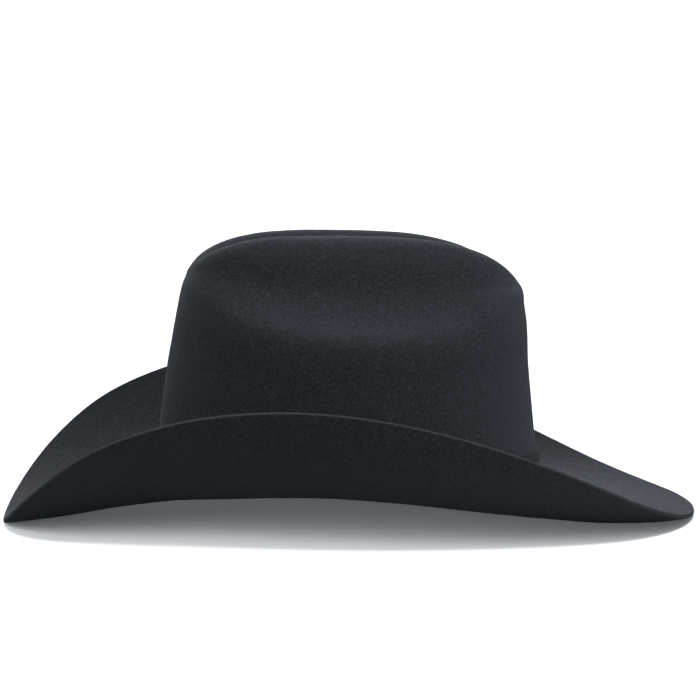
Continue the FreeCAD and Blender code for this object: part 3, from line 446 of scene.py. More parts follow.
def build_felt():
    v_out = spaced_rows(OUTER, outer_step)
    P, N = around(OUTER, N_T, v_out)
    nv = len(v_out)
    # under side: same rows in the brim and lower wall, coarser inside the crown, which the lining hides
    v_in = spaced_rows(INNER, lambda v: 1.6 if v < 1 else 3.4 if v < FILLET - 4 else 1.8 if v < FILLET + 3 else 6.5)
    Q, M = around(INNER, N_T, v_in)
    M = -M
    # the felt was blocked by hand: very slight unevenness, the same on both faces
    def uneven(X, nrm, v):
        flat = X.reshape(-1, 3)
        d = 0.32 * wobble(flat, 34.0, 3.1) + 0.12 * wobble(flat, 11.0, 8.7)
        return X + nrm * d.reshape(X.shape[:2])[..., None]
    P = uneven(P, N, v_out)
    Q = uneven(Q, -M, v_in)
    # raw cut edge: rounded corners between the two faces
    top0, bot0 = P[:, 0], Q[:, 0]
    e = top0 - P[:, 1]
    e /= np.linalg.norm(e, axis=1, keepdims=True)
    nrm = top0 - bot0
    thick = np.linalg.norm(nrm, axis=1, keepdims=True)
    nrm = nrm / thick
    ang = np.linspace(0, 2 * math.pi, N_T, endpoint=False)
    ragged = 0.10 * np.array([noise.noise(Vector((math.cos(a) * 42, math.sin(a) * 42, 1.7))) for a in ang])[:, None]
    top0 = top0 + e * ragged
    bot0 = bot0 + e * ragged
    r = 0.62
    edge_rows = []
    for a in np.linspace(0, math.pi / 2, 5):
        edge_rows.append(top0 - r * e - r * nrm + r * (math.cos(a) * nrm + math.sin(a) * e))
    for w in (0.5,):
        edge_rows.append(top0 + (bot0 - top0) * w + 0.10 * e)
    for a in np.linspace(math.pi / 2, 0, 5):
        edge_rows.append(bot0 - r * e + r * nrm + r * (-math.cos(a) * nrm + math.sin(a) * e))
    # drop profile rows that the rounded edge takes the place of
    keep_top = [j for j in range(1, nv) if np.median(np.linalg.norm(P[:, j] - top0, axis=1)) > r + 0.7]
    keep_bot = [j for j in range(1, len(v_in)) if np.median(np.linalg.norm(Q[:, j] - bot0, axis=1)) > r + 0.7]
    rows = [Q[:, j] for j in reversed(keep_bot)]
    n_bottom = len(rows)
    rows += edge_rows[::-1]
    n_edge = len(edge_rows)
    rows += [P[:, j] for j in keep_top]
    R = len(rows)
    G = np.stack(rows, 1)                      # (N_T, R, 3)
    G[..., 2] = np.maximum(G[..., 2], 0.0)
    # weld both halves along the crease: first and last rows
    index = -np.ones((N_T, R), int)
    verts = []
    half = N_T // 2
    for j in range(R):
        for i in range(N_T):
            if j in (0, R - 1) and i > half:
                index[i, j] = index[N_T - i, j]
                continue
            p = G[i, j].copy()
            if j in (0, R - 1):
                p[1] = 0.0
            index[i, j] = len(verts)
            verts.append(p * MM)
    faces, mats = [], []
    for j in range(R - 1):
        for i in range(N_T):
            k = (i + 1) % N_T
            f = [index[i, j], index[k, j], index[k, j + 1], index[i, j + 1]]
            g = []
            for q in f:
                if q not in g:
                    g.append(q)
            if len(g) < 3:
                continue
            faces.append(tuple(int(q) for q in g))
            mats.append(1 if n_bottom + 1 < j < n_bottom + n_edge - 2 else 0)
    ob = new_mesh("hat_felt_body", verts, faces, mats)
    return ob


felt = build_felt()

# =============================================================================
# Materials
# =============================================================================
class Mat:
    """A small helper for building node materials."""

    def __init__(self, name):
        self.m = bpy.data.materials.new(name)
        self.m.use_nodes = True
        self.t = self.m.node_tree
        self.t.nodes.clear()
        self.out = self.t.nodes.new("ShaderNodeOutputMaterial")
        self.bsdf = self.t.nodes.new("ShaderNodeBsdfPrincipled")
        self.t.links.new(self.bsdf.outputs[0], self.out.inputs["Surface"])
        self.coord = self.t.nodes.new("ShaderNodeTexCoord").outputs["Object"]

    def link(self, a, b):
        self.t.links.new(a, b)

    def put(self, socket, value):
        if isinstance(value, bpy.types.NodeSocket):
            self.t.links.new(value, socket)
        elif value is not None:
            socket.default_value = value

    def set(self, **values):
        for k, v in values.items():
            self.put(self.bsdf.inputs[k.replace("_", " ")], v)
        return self

    def noise(self, scale, detail=2.0, rough=0.5, distortion=0.0, vector=None, color=False):
        n = self.t.nodes.new("ShaderNodeTexNoise")
        self.put(n.inputs["Vector"], vector or self.coord)
        n.inputs["Scale"].default_value = scale
        n.inputs["Detail"].default_value = detail
        n.inputs["Roughness"].default_value = rough
        n.inputs["Distortion"].default_value = distortion
        return n.outputs["Color" if color else "Fac"]

    def voronoi(self, scale, feature="F1", vector=None, randomness=1.0):
        n = self.t.nodes.new("ShaderNodeTexVoronoi")
        n.feature = feature
        self.put(n.inputs["Vector"], vector or self.coord)
        n.inputs["Scale"].default_value = scale
        n.inputs["Randomness"].default_value = randomness
        return n.outputs["Distance"]

    def wave(self, scale, vector=None, direction="X", distortion=0.0, detail_scale=1.0, profile="SIN"):
        n = self.t.nodes.new("ShaderNodeTexWave")
        n.bands_direction = direction
        n.wave_profile = profile
        self.put(n.inputs["Vector"], vector or self.coord)
        n.inputs["Scale"].default_value = scale
        n.inputs["Distortion"].default_value = distortion
        n.inputs["Detail Scale"].default_value = detail_scale
        return n.outputs["Fac"]

    def math(self, op, a, b=None, c=None, clamp=False):
        n = self.t.nodes.new("ShaderNodeMath")
        n.operation = op
        n.use_clamp = clamp
        self.put(n.inputs[0], a)
        self.put(n.inputs[1], b)
        if c is not None:
            self.put(n.inputs[2], c)
        return n.outputs[0]

    def span(self, x, a, b, c=0.0, d=1.0):
        n = self.t.nodes.new("ShaderNodeMapRange")
        self.put(n.inputs["Value"], x)
        n.inputs["From Min"].default_value = a
        n.inputs["From Max"].default_value = b
        n.inputs["To Min"].default_value = c
        n.inputs["To Max"].default_value = d
        return n.outputs["Result"]

    def mix(self, fac, a, b, blend="MIX"):
        n = self.t.nodes.new("ShaderNodeMix")
        n.data_type = "RGBA"
        n.blend_type = blend
        n.clamp_factor = True
        self.put(n.inputs[0], fac)
        for socket, v in ((n.inputs[6], a), (n.inputs[7], b)):
            if not isinstance(v, bpy.types.NodeSocket):
                v = tuple(v) + (1.0,) if len(v) == 3 else v
            self.put(socket, v)
        return n.outputs[2]

    def mapping(self, scale=(1, 1, 1), rotation=(0, 0, 0), vector=None):
        n = self.t.nodes.new("ShaderNodeMapping")
        self.put(n.inputs["Vector"], vector or self.coord)
        n.inputs["Scale"].default_value = scale
        n.inputs["Rotation"].default_value = rotation
        return n.outputs[0]

    def uv(self, name="UVMap"):
        n = self.t.nodes.new("ShaderNodeUVMap")
        n.uv_map = name
        return n.outputs[0]

    def separate(self, vector):
        n = self.t.nodes.new("ShaderNodeSeparateXYZ")
        self.put(n.inputs[0], vector)
        return n.outputs

    def bump(self, height, strength, distance, normal=None):
        n = self.t.nodes.new("ShaderNodeBump")
        self.put(n.inputs["Height"], height)
        n.inputs["Strength"].default_value = strength
        n.inputs["Distance"].default_value = distance
        if normal is not None:
            self.put(n.inputs["Normal"], normal)
        return n.outputs[0]


def felt_material(name, base, fibre, fibre_amount=0.55, sheen=0.35):
    m = Mat(name)
    # cloudy unevenness of the dye and the nap
    cloud = m.noise(38.0, 3.0, 0.55)
    patch = m.noise(210.0, 3.0, 0.6)
    # short curled fibres lying in every direction: thin ridges of distorted noise at three sizes
    def ridges(scale, distortion, width):
        n = m.noise(scale, 1.5, 0.5, distortion)
        d = m.math("ABSOLUTE", m.math("SUBTRACT", n, 0.5))
        return m.span(d, 0.0, width, 1.0, 0.0)
    f1 = ridges(620.0, 1.6, 0.050)
    f2 = ridges(1150.0, 2.2, 0.065)
    f3 = ridges(2300.0, 1.2, 0.090)
    fuzz = m.noise(3400.0, 2.0, 0.6)
    fib = m.math("MAXIMUM", m.math("MULTIPLY", f1, 0.8), m.math("MAXIMUM", m.math("MULTIPLY", f2, 0.9), m.math("MULTIPLY", f3, 0.6)))
    fib = m.math("MULTIPLY", fib, m.span(m.noise(480.0, 2.0, 0.5), 0.35, 0.65, 0.25, 1.0))
    dark = tuple(v * 0.72 for v in base)
    light = tuple(v * 1.22 for v in base)
    col = m.mix(m.span(patch, 0.3, 0.7), dark, light)
    col = m.mix(m.span(cloud, 0.35, 0.65, 0.0, 0.35), col, tuple(v * 1.25 for v in base))
    speck = m.noise(1020.0, 2.0, 0.6)
    col = m.mix(m.span(speck, 0.47, 0.31, 0.0, 0.82), col, tuple(v * 0.33 for v in base))
    col = m.mix(m.span(speck, 0.535, 0.70, 0.0, 0.88), col, tuple(v * 1.45 for v in fibre))
    col = m.mix(m.math("MULTIPLY", fib, fibre_amount), col, fibre)
    col = m.mix(m.span(fuzz, 0.60, 0.78, 0.0, 0.5), col, tuple(v * 1.15 for v in fibre))
    height = m.math("ADD", m.math("ADD", m.math("MULTIPLY", fib, 0.55), m.math("MULTIPLY", speck, 0.6)), m.math("ADD", m.math("MULTIPLY", fuzz, 0.25), m.math("MULTIPLY", patch, 0.5)))
    m.set(Base_Color=col, Roughness=m.span(patch, 0.2, 0.8, 0.86, 1.0), Normal=m.bump(height, 0.75, 0.00045))
    m.set(Specular_IOR_Level=0.18, Sheen_Weight=sheen, Sheen_Roughness=0.55, Sheen_Tint=(0.80, 0.80, 0.92, 1.0))
    return m.m


FELT = felt_material("felt_black_wool", (0.0185, 0.0195, 0.0225), (0.040, 0.041, 0.047), 0.55, 0.15)
FELT_EDGE = felt_material("felt_cut_edge", (0.0190, 0.0195, 0.0230), (0.038, 0.038, 0.044), 0.6, 0.10)

felt.data.materials.append(FELT)
felt.data.materials.append(FELT_EDGE)
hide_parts("felt_body")
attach(felt, "hat")

# =============================================================================
# Places on the crown's wall, and shells of points that are put together as one mesh
# =============================================================================
def on_wall(t, h, d):
    """Points h above the break and d outside the wall's outer face (mm); arrays are fine."""
    t, h, d = np.broadcast_arrays(np.asarray(t, float), np.asarray(h, float), np.asarray(d, float))
    c, s = np.cos(t), np.sin(t)
    xf = A0 - WF[0] * h - WF[1] * h * h
    xb = -(A0 - WB[0] * h - WB[1] * h * h)
    x, y = (xf + xb) / 2 + (xf - xb) / 2 * c, (B0 - WS * h) * s
    nx, ny = c / A0, s / B0
    k = np.hypot(nx, ny)
    z = ZB[0] + ZB[1] * c + ZB[2] * np.cos(2 * t) + h
    return np.stack([x + d * nx / k + DX, y + d * ny / k, z + DZ], -1)


def out_at(t):
    """Unit horizontal direction out of the wall."""
    t = np.asarray(t, float)
    v = np.stack([np.cos(t) / A0, np.sin(t) / B0, np.zeros_like(t)], -1)
    return v / np.linalg.norm(v, axis=-1, keepdims=True)


def angles(n):
    return np.linspace(0, 2 * math.pi, n, endpoint=False)


def cross_section(points, radius, steps=3):
    """A closed polygon in (h, d) with its corners rounded."""
    P = [np.array(p, float) for p in points]
    out = []
    n = len(P)
    for i, p in enumerate(P):
        a, b = P[i - 1] - p, P[(i + 1) % n] - p
        la, lb = np.linalg.norm(a), np.linalg.norm(b)
        r = min(radius, 0.45 * la, 0.45 * lb)
        p0, p1 = p + a / la * r, p + b / lb * r
        for k in range(steps + 1):
            w = k / steps
            out.append((1 - w) ** 2 * p0 + 2 * w * (1 - w) * p + w * w * p1)
    return np.array(out)


def denser(section, step):
    """The closed polygon with no run longer than step."""
    out = []
    n = len(section)
    for i in range(n):
        a, b = section[i], section[(i + 1) % n]
        k = max(1, int(math.ceil(np.linalg.norm(b - a) / step)))
        for j in range(k):
            out.append(a + (b - a) * j / k)
    return np.array(out)


def grid_shell(G, closed_u=True, closed_v=True, caps=True, mat=0):
    """Shell over the grid G[i, j] (mm): i along, j round the section. UVs are lengths in metres."""
    G = np.asarray(G, float)
    n, m = G.shape[:2]
    du = np.linalg.norm(np.roll(G, -1, 0) - G, axis=2).mean(1) * MM
    dv = np.linalg.norm(np.roll(G, -1, 1) - G, axis=2).mean(0) * MM
    U, W = np.concatenate([[0], np.cumsum(du)]), np.concatenate([[0], np.cumsum(dv)])
    faces, uvs = [], []
    for i in range(n if closed_u else n - 1):
        i2 = (i + 1) % n
        for j in range(m if closed_v else m - 1):
            j2 = (j + 1) % m
            faces.append((i * m + j, i2 * m + j, i2 * m + j2, i * m + j2))
            uvs += [(U[i], W[j]), (U[i + 1], W[j]), (U[i + 1], W[j + 1]), (U[i], W[j + 1])]
    if caps and closed_v and not closed_u:
        for ring in (list(range(m))[::-1], [(n - 1) * m + j for j in range(m)]):
            faces.append(tuple(ring))
            uvs += [(0.0, 0.0)] * m
    return G.reshape(-1, 3), faces, uvs, mat


def tube_shell(path, radius, up, sides=8, closed=False, flat=1.0, mat=0):
    """Round (or flattened) cord along a path (mm); up is a direction, or one for each point."""
    P = np.asarray(path, float)
    if closed:
        T = np.roll(P, -1, 0) - np.roll(P, 1, 0)
    else:
        T = np.gradient(P, axis=0)
    T /= np.linalg.norm(T, axis=1, keepdims=True)
    N = np.broadcast_to(np.asarray(up, float), P.shape)
    N = N - T * (N * T).sum(1, keepdims=True)
    N /= np.linalg.norm(N, axis=1, keepdims=True)
    B = np.cross(T, N)
    R = np.broadcast_to(np.asarray(radius, float), (len(P),))[:, None, None]
    a = np.linspace(0, 2 * math.pi, sides, endpoint=False)
    G = P[:, None] + R * (flat * np.cos(a)[None, :, None] * N[:, None] + np.sin(a)[None, :, None] * B[:, None])
    V, F, UV, mat = grid_shell(G, closed, True, True, mat)
    return V, F, UV, mat


def assemble(name, shells, materials, body, nodes, weld=0.0, smooth_angle=None):
    """One object from several shells, with outward normals, its materials, and its place in the part."""
    V, F, UV, M = [], [], [], []
    base = 0
    for v, f, uv, mat in shells:
        V.append(v)
        F += [tuple(int(q) + base for q in face) for face in f]
        UV += list(uv)
        M += [mat] * len(f)
        base += len(v)
    ob = new_mesh(name, np.concatenate(V) * MM, F, M)
    me = ob.data
    if UV and len(UV) == len(me.loops):
        layer = me.uv_layers.new(name="UVMap")
        layer.data.foreach_set("uv", np.asarray(UV, float).ravel())
    bm = bmesh.new()
    bm.from_mesh(me)
    if weld > 0:
        bmesh.ops.remove_doubles(bm, verts=bm.verts, dist=weld)
    bmesh.ops.recalc_face_normals(bm, faces=bm.faces)
    bm.to_mesh(me)
    bm.free()
    for m in materials:
        me.materials.append(m)
    if smooth_angle:
        with_edges = bmesh.new()
        with_edges.from_mesh(me)
        for e in with_edges.edges:
            if len(e.link_faces) == 2 and e.calc_face_angle(0.0) > math.radians(smooth_angle):
                e.smooth = False
        with_edges.to_mesh(me)
        with_edges.free()
    if nodes:
        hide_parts(*nodes)
    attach(ob, body)
    return ob


# =============================================================================
# More materials
# =============================================================================
def stripes(m, coordinate, pitch, shift=None):
    """0..1 waves along a coordinate in metres."""
    x = m.math("MULTIPLY", coordinate, 2 * math.pi / pitch)
    if shift is not None:
        x = m.math("ADD", x, shift)
    return m.math("MULTIPLY_ADD", m.math("SINE", x), 0.5, 0.5)


def thread_material(name, base, light, pitch=0.0009, sheen=0.15):
    m = Mat(name)
    u = m.separate(m.uv())
    ply = stripes(m, m.math("ADD", u[0], m.math("MULTIPLY", u[1], 1.0)), pitch)
    fine = m.noise(2600.0, 2.0, 0.6)
    tone = m.noise(140.0, 2.0, 0.5)
    col = m.mix(m.math("MULTIPLY", ply, 0.8), tuple(v * 0.55 for v in base), light)
    col = m.mix(m.span(tone, 0.3, 0.7, 0.0, 0.4), col, base)
    col = m.mix(m.span(fine, 0.62, 0.8, 0.0, 0.5), col, tuple(min(1.0, v * 1.5) for v in light))
    m.set(Base_Color=col, Roughness=m.span(fine, 0.2, 0.8, 0.62, 0.85), Normal=m.bump(m.math("ADD", ply, m.math("MULTIPLY", fine, 0.4)), 0.6, 0.00010))
    m.set(Specular_IOR_Level=0.3, Sheen_Weight=sheen, Sheen_Roughness=0.4)
    return m.m


def leather_material(name, base):
    m = Mat(name)
    warp = m.noise(420.0, 2.0, 0.5, color=True)
    n = m.t.nodes.new("ShaderNodeVectorMath")
    n.operation = "MULTIPLY_ADD"
    m.link(warp, n.inputs[0])
    n.inputs[1].default_value = (0.0012, 0.0012, 0.0012)
    m.link(m.coord, n.inputs[2])
    pebble = m.span(m.voronoi(950.0, "DISTANCE_TO_EDGE", n.outputs[0]), 0.0, 0.22)
    small = m.span(m.voronoi(2100.0, "DISTANCE_TO_EDGE", n.outputs[0]), 0.0, 0.25)
    pores = m.span(m.noise(3000.0, 2.0, 0.5), 0.30, 0.42)
    tone = m.noise(28.0, 4.0, 0.6)
    patch = m.noise(150.0, 3.0, 0.6)
    grain = m.math("ADD", m.math("MULTIPLY", pebble, 0.6), m.math("MULTIPLY", small, 0.4))
    col = m.mix(m.span(tone, 0.3, 0.7), tuple(v * 0.75 for v in base), tuple(v * 1.25 for v in base))
    col = m.mix(m.span(grain, 0.0, 0.6, 0.55, 0.0), col, tuple(v * 0.35 for v in base))
    col = m.mix(m.span(patch, 0.55, 0.75, 0.0, 0.35), col, tuple(v * 1.7 for v in base))
    height = m.math("ADD", m.math("MULTIPLY", grain, 0.8), m.math("MULTIPLY", pores, 0.2))
    m.set(Base_Color=col, Roughness=m.span(m.math("ADD", m.math("MULTIPLY", grain, -0.25), m.math("MULTIPLY", patch, 0.5)), -0.2, 0.4, 0.40, 0.62),
          Normal=m.bump(height, 0.5, 0.00012))
    m.set(Specular_IOR_Level=0.45, Coat_Weight=0.12, Coat_Roughness=0.35)
    return m.m


def weave_material(name, base, light, pitch, twill=False, rough=(0.6, 0.8), strength=0.6, sheen=0.1, depth=0.00008):
    m = Mat(name)
    u = m.separate(m.uv())
    warp = stripes(m, u[1], pitch)
    weft = stripes(m, u[0], pitch, m.math("MULTIPLY", u[1], 2 * math.pi / (2 * pitch)) if twill else None)
    over = stripes(m, m.math("ADD", u[0], u[1]), 2 * pitch)
    h = m.math("ADD", m.math("MULTIPLY", warp, over), m.math("MULTIPLY", weft, m.math("SUBTRACT", 1.0, over)))
    tone = m.noise(90.0, 3.0, 0.6)
    fuzz = m.noise(2400.0, 2.0, 0.6)
    col = m.mix(h, tuple(v * 0.5 for v in base), light)
    col = m.mix(m.span(tone, 0.3, 0.7, 0.0, 0.45), col, base)
    col = m.mix(m.span(fuzz, 0.6, 0.8, 0.0, 0.35), col, tuple(min(1.0, v * 1.35) for v in light))
    m.set(Base_Color=col, Roughness=m.span(fuzz, 0.2, 0.8, rough[0], rough[1]), Normal=m.bump(m.math("ADD", h, m.math("MULTIPLY", fuzz, 0.3)), strength, depth))
    m.set(Specular_IOR_Level=0.3, Sheen_Weight=sheen, Sheen_Roughness=0.4)
    return m.m


def grosgrain_material(name, base, light, pitch=0.00055):
    m = Mat(name)
    u = m.separate(m.uv())
    rib = stripes(m, u[0], pitch)
    fine = stripes(m, u[1], 0.00022)
    tone = m.noise(160.0, 3.0, 0.6)
    h = m.math("ADD", m.math("MULTIPLY", rib, 0.85), m.math("MULTIPLY", fine, 0.15))
    col = m.mix(h, tuple(v * 0.45 for v in base), light)
    col = m.mix(m.span(tone, 0.3, 0.7, 0.0, 0.4), col, base)
    m.set(Base_Color=col, Roughness=m.span(tone, 0.2, 0.8, 0.42, 0.58), Normal=m.bump(h, 0.8, 0.00010))
    m.set(Specular_IOR_Level=0.45, Sheen_Weight=0.2, Sheen_Roughness=0.35)
    return m.m


def satin_material(name, base, light, slub=1.0):
    m = Mat(name)
    u = m.separate(m.uv())
    long_thread = m.noise(1.0, 2.0, 0.6, vector=m.mapping((260.0, 5200.0, 1.0), vector=m.uv()))
    warp = stripes(m, u[1], 0.00030)
    step = stripes(m, m.math("ADD", u[0], m.math("MULTIPLY", u[1], 2.3)), 0.0011)
    tone = m.noise(24.0, 3.0, 0.55)
    h = m.math("ADD", m.math("MULTIPLY", warp, 0.45), m.math("ADD", m.math("MULTIPLY", step, 0.2), m.math("MULTIPLY", long_thread, 0.5 * slub)))
    col = m.mix(m.span(h, 0.3, 0.85), tuple(v * 0.72 for v in base), light)
    col = m.mix(m.span(tone, 0.3, 0.7, 0.0, 0.35), col, tuple(v * 0.85 for v in base))
    m.set(Base_Color=col, Roughness=m.span(h, 0.2, 0.9, 0.42, 0.27), Normal=m.bump(h, 0.30, 0.00005))
    m.set(Specular_IOR_Level=0.75, Anisotropic=0.55, Sheen_Weight=0.35, Sheen_Roughness=0.30, Sheen_Tint=(0.85, 0.85, 0.95, 1.0))
    return m.m


def metal_material(name, base):
    m = Mat(name)
    brush = m.noise(1.0, 3.0, 0.6, vector=m.mapping((7000.0, 7000.0, 260.0)))
    cloud = m.noise(420.0, 3.0, 0.6)
    spots = m.span(m.noise(2300.0, 2.0, 0.5), 0.66, 0.74)
    col = m.mix(m.span(cloud, 0.35, 0.7), tuple(v * 0.86 for v in base), tuple(min(1.0, v * 1.08) for v in base))
    col = m.mix(m.math("MULTIPLY", spots, 0.5), col, tuple(v * 0.55 for v in base))
    rough = m.math("ADD", m.span(brush, 0.3, 0.7, 0.16, 0.30), m.span(cloud, 0.4, 0.7, 0.0, 0.08))
    m.set(Base_Color=col, Roughness=rough, Normal=m.bump(m.math("ADD", brush, m.math("MULTIPLY", spots, 0.4)), 0.12, 0.00003))
    m.set(Metallic=1.0)
    return m.m


def plastic_material(name, base):
    m = Mat(name)
    a = m.noise(300.0, 3.0, 0.6)
    b = m.noise(3200.0, 2.0, 0.5)
    m.set(Base_Color=m.mix(m.span(a, 0.3, 0.7), tuple(v * 0.8 for v in base), tuple(v * 1.25 for v in base)),
          Roughness=m.span(a, 0.3, 0.7, 0.34, 0.48), Normal=m.bump(m.math("ADD", m.math("MULTIPLY", a, 0.7), m.math("MULTIPLY", b, 0.3)), 0.25, 0.00008))
    m.set(Specular_IOR_Level=0.45)
    return m.m


def film_material(name):
    m = Mat(name)
    a = m.noise(45.0, 3.0, 0.6)
    b = m.noise(700.0, 2.0, 0.5)
    m.set(Base_Color=m.mix(m.span(a, 0.3, 0.7), (0.80, 0.83, 0.86), (0.90, 0.92, 0.94)), Roughness=m.span(b, 0.3, 0.7, 0.08, 0.20),
          Normal=m.bump(m.math("ADD", a, m.math("MULTIPLY", b, 0.08)), 0.18, 0.0010))
    m.set(Alpha=0.16, Specular_IOR_Level=0.6, Coat_Weight=0.3, Coat_Roughness=0.08)
    return m.m


BAND_FELT = felt_material("felt_band", (0.0150, 0.0157, 0.0185), (0.034, 0.035, 0.040), 0.55, 0.08)
BLACK_THREAD = thread_material("thread_black", (0.020, 0.020, 0.022), (0.050, 0.050, 0.055))
SWEAT_THREAD = thread_material("thread_sweatband", (0.050, 0.050, 0.052), (0.115, 0.113, 0.115))
LEATHER = leather_material("leather_sweatband", (0.045, 0.038, 0.036))
TAPE = weave_material("tape_reed", (0.030, 0.030, 0.033), (0.070, 0.070, 0.076), 0.0009, True)
REED = plastic_material("plastic_reed", (0.060, 0.060, 0.062))
LABEL = weave_material("cloth_label", (0.72, 0.70, 0.66), (0.86, 0.84, 0.80), 0.00045, False, (0.55, 0.75), 0.5, 0.15, 0.00006)
RIBBON = grosgrain_material("ribbon_bow", (0.030, 0.030, 0.035), (0.085, 0.085, 0.095))
SATIN = satin_material("satin_lining", (0.055, 0.052, 0.062), (0.105, 0.100, 0.118))
PIPING = satin_material("satin_piping", (0.050, 0.047, 0.056), (0.100, 0.096, 0.112), 0.6)
FILM = film_material("film_clear")
NICKEL = metal_material("metal_nickel", (0.72, 0.71, 0.69))

# =============================================================================
# Hatband: a narrow strip cut from the same felt, its long edges left raw
# =============================================================================
N_BAND = 420
t_ring = angles(N_BAND)
section = denser(cross_section([(BAND_LOW, BAND_IN), (BAND_LOW + BAND_TALL, BAND_IN), (BAND_LOW + BAND_TALL, BAND_OUT), (BAND_LOW, BAND_OUT)], 0.32), 1.4)
edge_noise = np.array([[noise.noise(Vector((math.cos(a) * 36, math.sin(a) * 36, z))) for a in t_ring] for z in (4.1, 9.3, 13.7)])
G = np.zeros((N_BAND, len(section), 3))
for j, (h, d) in enumerate(section):
    k = (h - BAND_LOW) / BAND_TALL
    wob = 0.16 * (edge_noise[0] * (1 - k) + edge_noise[1] * k)
    crown = 0.10 * (1 - (2 * k - 1) ** 2) * (1 if d > 0.9 else 0) + 0.07 * edge_noise[2] * (1 if d > 0.9 else 0)
    G[:, j] = on_wall(t_ring, h + wob, d + crown)
hatband = assemble("hatband_strip", [grid_shell(G)], [BAND_FELT], "hat", ["hatband"])


def stitch(t0, h0, t1, h1, face, side, radius, n=9):
    """Path of one stitch on a face d = face; side +1 stands out of the hat, -1 into it. Its ends dive into the cloth."""
    q = np.linspace(0, 1, n)
    lift = 0.85 * radius - (0.85 * radius + 0.45) * np.abs(2 * q - 1) ** 5
    return on_wall(t0 + (t1 - t0) * q, h0 + (h1 - h0) * q, face + side * lift), out_at((t0 + t1) / 2)


def stitches(name, runs, radius, material, nodes):
    shells = []
    for run in runs:
        P, up = stitch(*run)
        r = radius * (1 - 0.35 * np.abs(np.linspace(-1, 1, len(P))) ** 6)
        shells.append(tube_shell(P, r, up, 8))
    return assemble(name, shells, [material], "hat", nodes)


def half_turn(t, length):
    return length / 2 / math.hypot(A0 * math.sin(t), B0 * math.cos(t))


STITCH_R = 0.28
runs = []
for deg in (12, 168, 192, 348):
    t = math.radians(deg)
    w = half_turn(t, 3.0)
    runs.append((t - w, BAND_LOW + 1.2, t + w, BAND_LOW + 1.2, BAND_OUT + 0.07, 1, STITCH_R))
stitches("hatband_tack_stitches", runs, STITCH_R, BLACK_THREAD, ["hatband_tacks"])

# =============================================================================
# Three-piece buckle set on the hat's left
# =============================================================================
_s, _t = [0.0], [T_BAR]
for _dir in (1, -1):
    s_run, t_run = 0.0, T_BAR
    for _ in range(3000):
        t_run += _dir * 0.01 / math.hypot(A0 * math.sin(t_run), B0 * math.cos(t_run))
        s_run += _dir * 0.01
        if _dir > 0:
            _s.append(s_run)
            _t.append(t_run)
        else:
            _s.insert(0, s_run)
            _t.insert(0, t_run)
_s, _t = np.array(_s), np.array(_t)


def angle_at(s):
    """The angle at a distance s along the band from the buckle's bar, + towards the back."""
    return np.interp(s, _s, _t)


def spot(s, out):
    """Local frame leaning with the wall: x along the band to the back, y up it, z out of it. Rotation and place (mm)."""
    t = float(angle_at(s))
    p = on_wall(t, BAND_MID, out)
    lo, hi = on_wall(t, BAND_MID - 3.0, 0.0), on_wall(t, BAND_MID + 3.0, 0.0)
    n = out_at(t)
    back = np.cross((0, 0, 1), n)
    lean = ((lo[0] - hi[0]) * n[0] + (lo[1] - hi[1]) * n[1]) / (hi[2] - lo[2])
    up = np.array((0, 0, 1.0)) - n * lean
    up /= np.linalg.norm(up)
    n = np.cross(back, up)
    return np.stack([back, up, n], 1), p


def turned(deg):
    a = math.radians(deg)
    return np.array([[math.cos(a), 0, math.sin(a)], [0, 1, 0], [-math.sin(a), 0, math.cos(a)]])


def placed(P, R, o):
    return np.asarray(P, float) @ R.T + o


def placed_shell(shell, R, o):
    return placed(shell[0], R, o), shell[1], shell[2], shell[3]


# the band's free end: a strap with a slot for the prong
def tongue_in(s):
    w = np.clip((np.asarray(s, float) + 5.6) / 4.8, 0, 1)
    return 1.78 + (BAR_OUT + 0.57 - 1.78) * (3 * w * w - 2 * w ** 3)


def tongue_thick(s):
    return 1.12 * np.where(s < -7.5, 0.35 + 0.65 * np.clip((s + 11.0) / 3.5, 0, 1), 1.0)


quarter = np.linspace(0, math.pi / 2, 6)
s_cols = np.unique(np.round(np.concatenate([np.linspace(-11, -4.2, 13), -3.4 - 0.8 * np.cos(quarter), np.linspace(-3.4, 0.7, 9), 0.7 + 0.8 * np.sin(quarter), np.linspace(1.5, 19, 30)]), 5))
slot_half = np.where((s_cols > -4.2) & (s_cols < 1.5), np.sqrt(np.maximum(0.64 - np.where(s_cols < -3.4, s_cols + 3.4, np.where(s_cols > 0.7, s_cols - 0.7, 0.0)) ** 2, 0)), 0.0)
rows_q = np.linspace(0, 1, 7)
V, F, UV = [], [], []
n_c, n_q = len(s_cols), len(rows_q)


def tongue_index(i, side, k, w):
    return ((i * 2 + side) * n_q + k) * 2 + w


for i, s in enumerate(s_cols):
    for side in (0, 1):
        for q in rows_q:
            h = (1 - 2 * side) * (slot_half[i] + (3.1 - slot_half[i]) * q)
            for w in (0, 1):
                V.append(on_wall(angle_at(s), BAND_MID + h, tongue_in(s) + tongue_thick(s) * w))
V = np.array(V)
for i in range(n_c - 1):
    for side in (0, 1):
        for k in range(n_q - 1):
            for w in (0, 1):
                F.append(tuple(tongue_index(a, side, b, w) for a, b in ((i, k), (i + 1, k), (i + 1, k + 1), (i, k + 1))))
        F.append(tuple(tongue_index(a, side, n_q - 1, w) for a, w in ((i, 0), (i + 1, 0), (i + 1, 1), (i, 1))))
        if slot_half[i] > 1e-6 or slot_half[i + 1] > 1e-6:
            F.append(tuple(tongue_index(a, side, 0, w) for a, w in ((i, 0), (i + 1, 0), (i + 1, 1), (i, 1))))
for i in (0, n_c - 1):
    for side in (0, 1):
        for k in range(n_q - 1):
            F.append(tuple(tongue_index(i, side, b, w) for b, w in ((k, 0), (k + 1, 0), (k + 1, 1), (k, 1))))
tongue = assemble("band_free_end", [(V, F, [(0.0, 0.0)] * sum(len(f) for f in F), 0)], [BAND_FELT], "hat", ["band_tongue"], weld=2e-6)
bev = tongue.modifiers.new("soft_edges", "BEVEL")
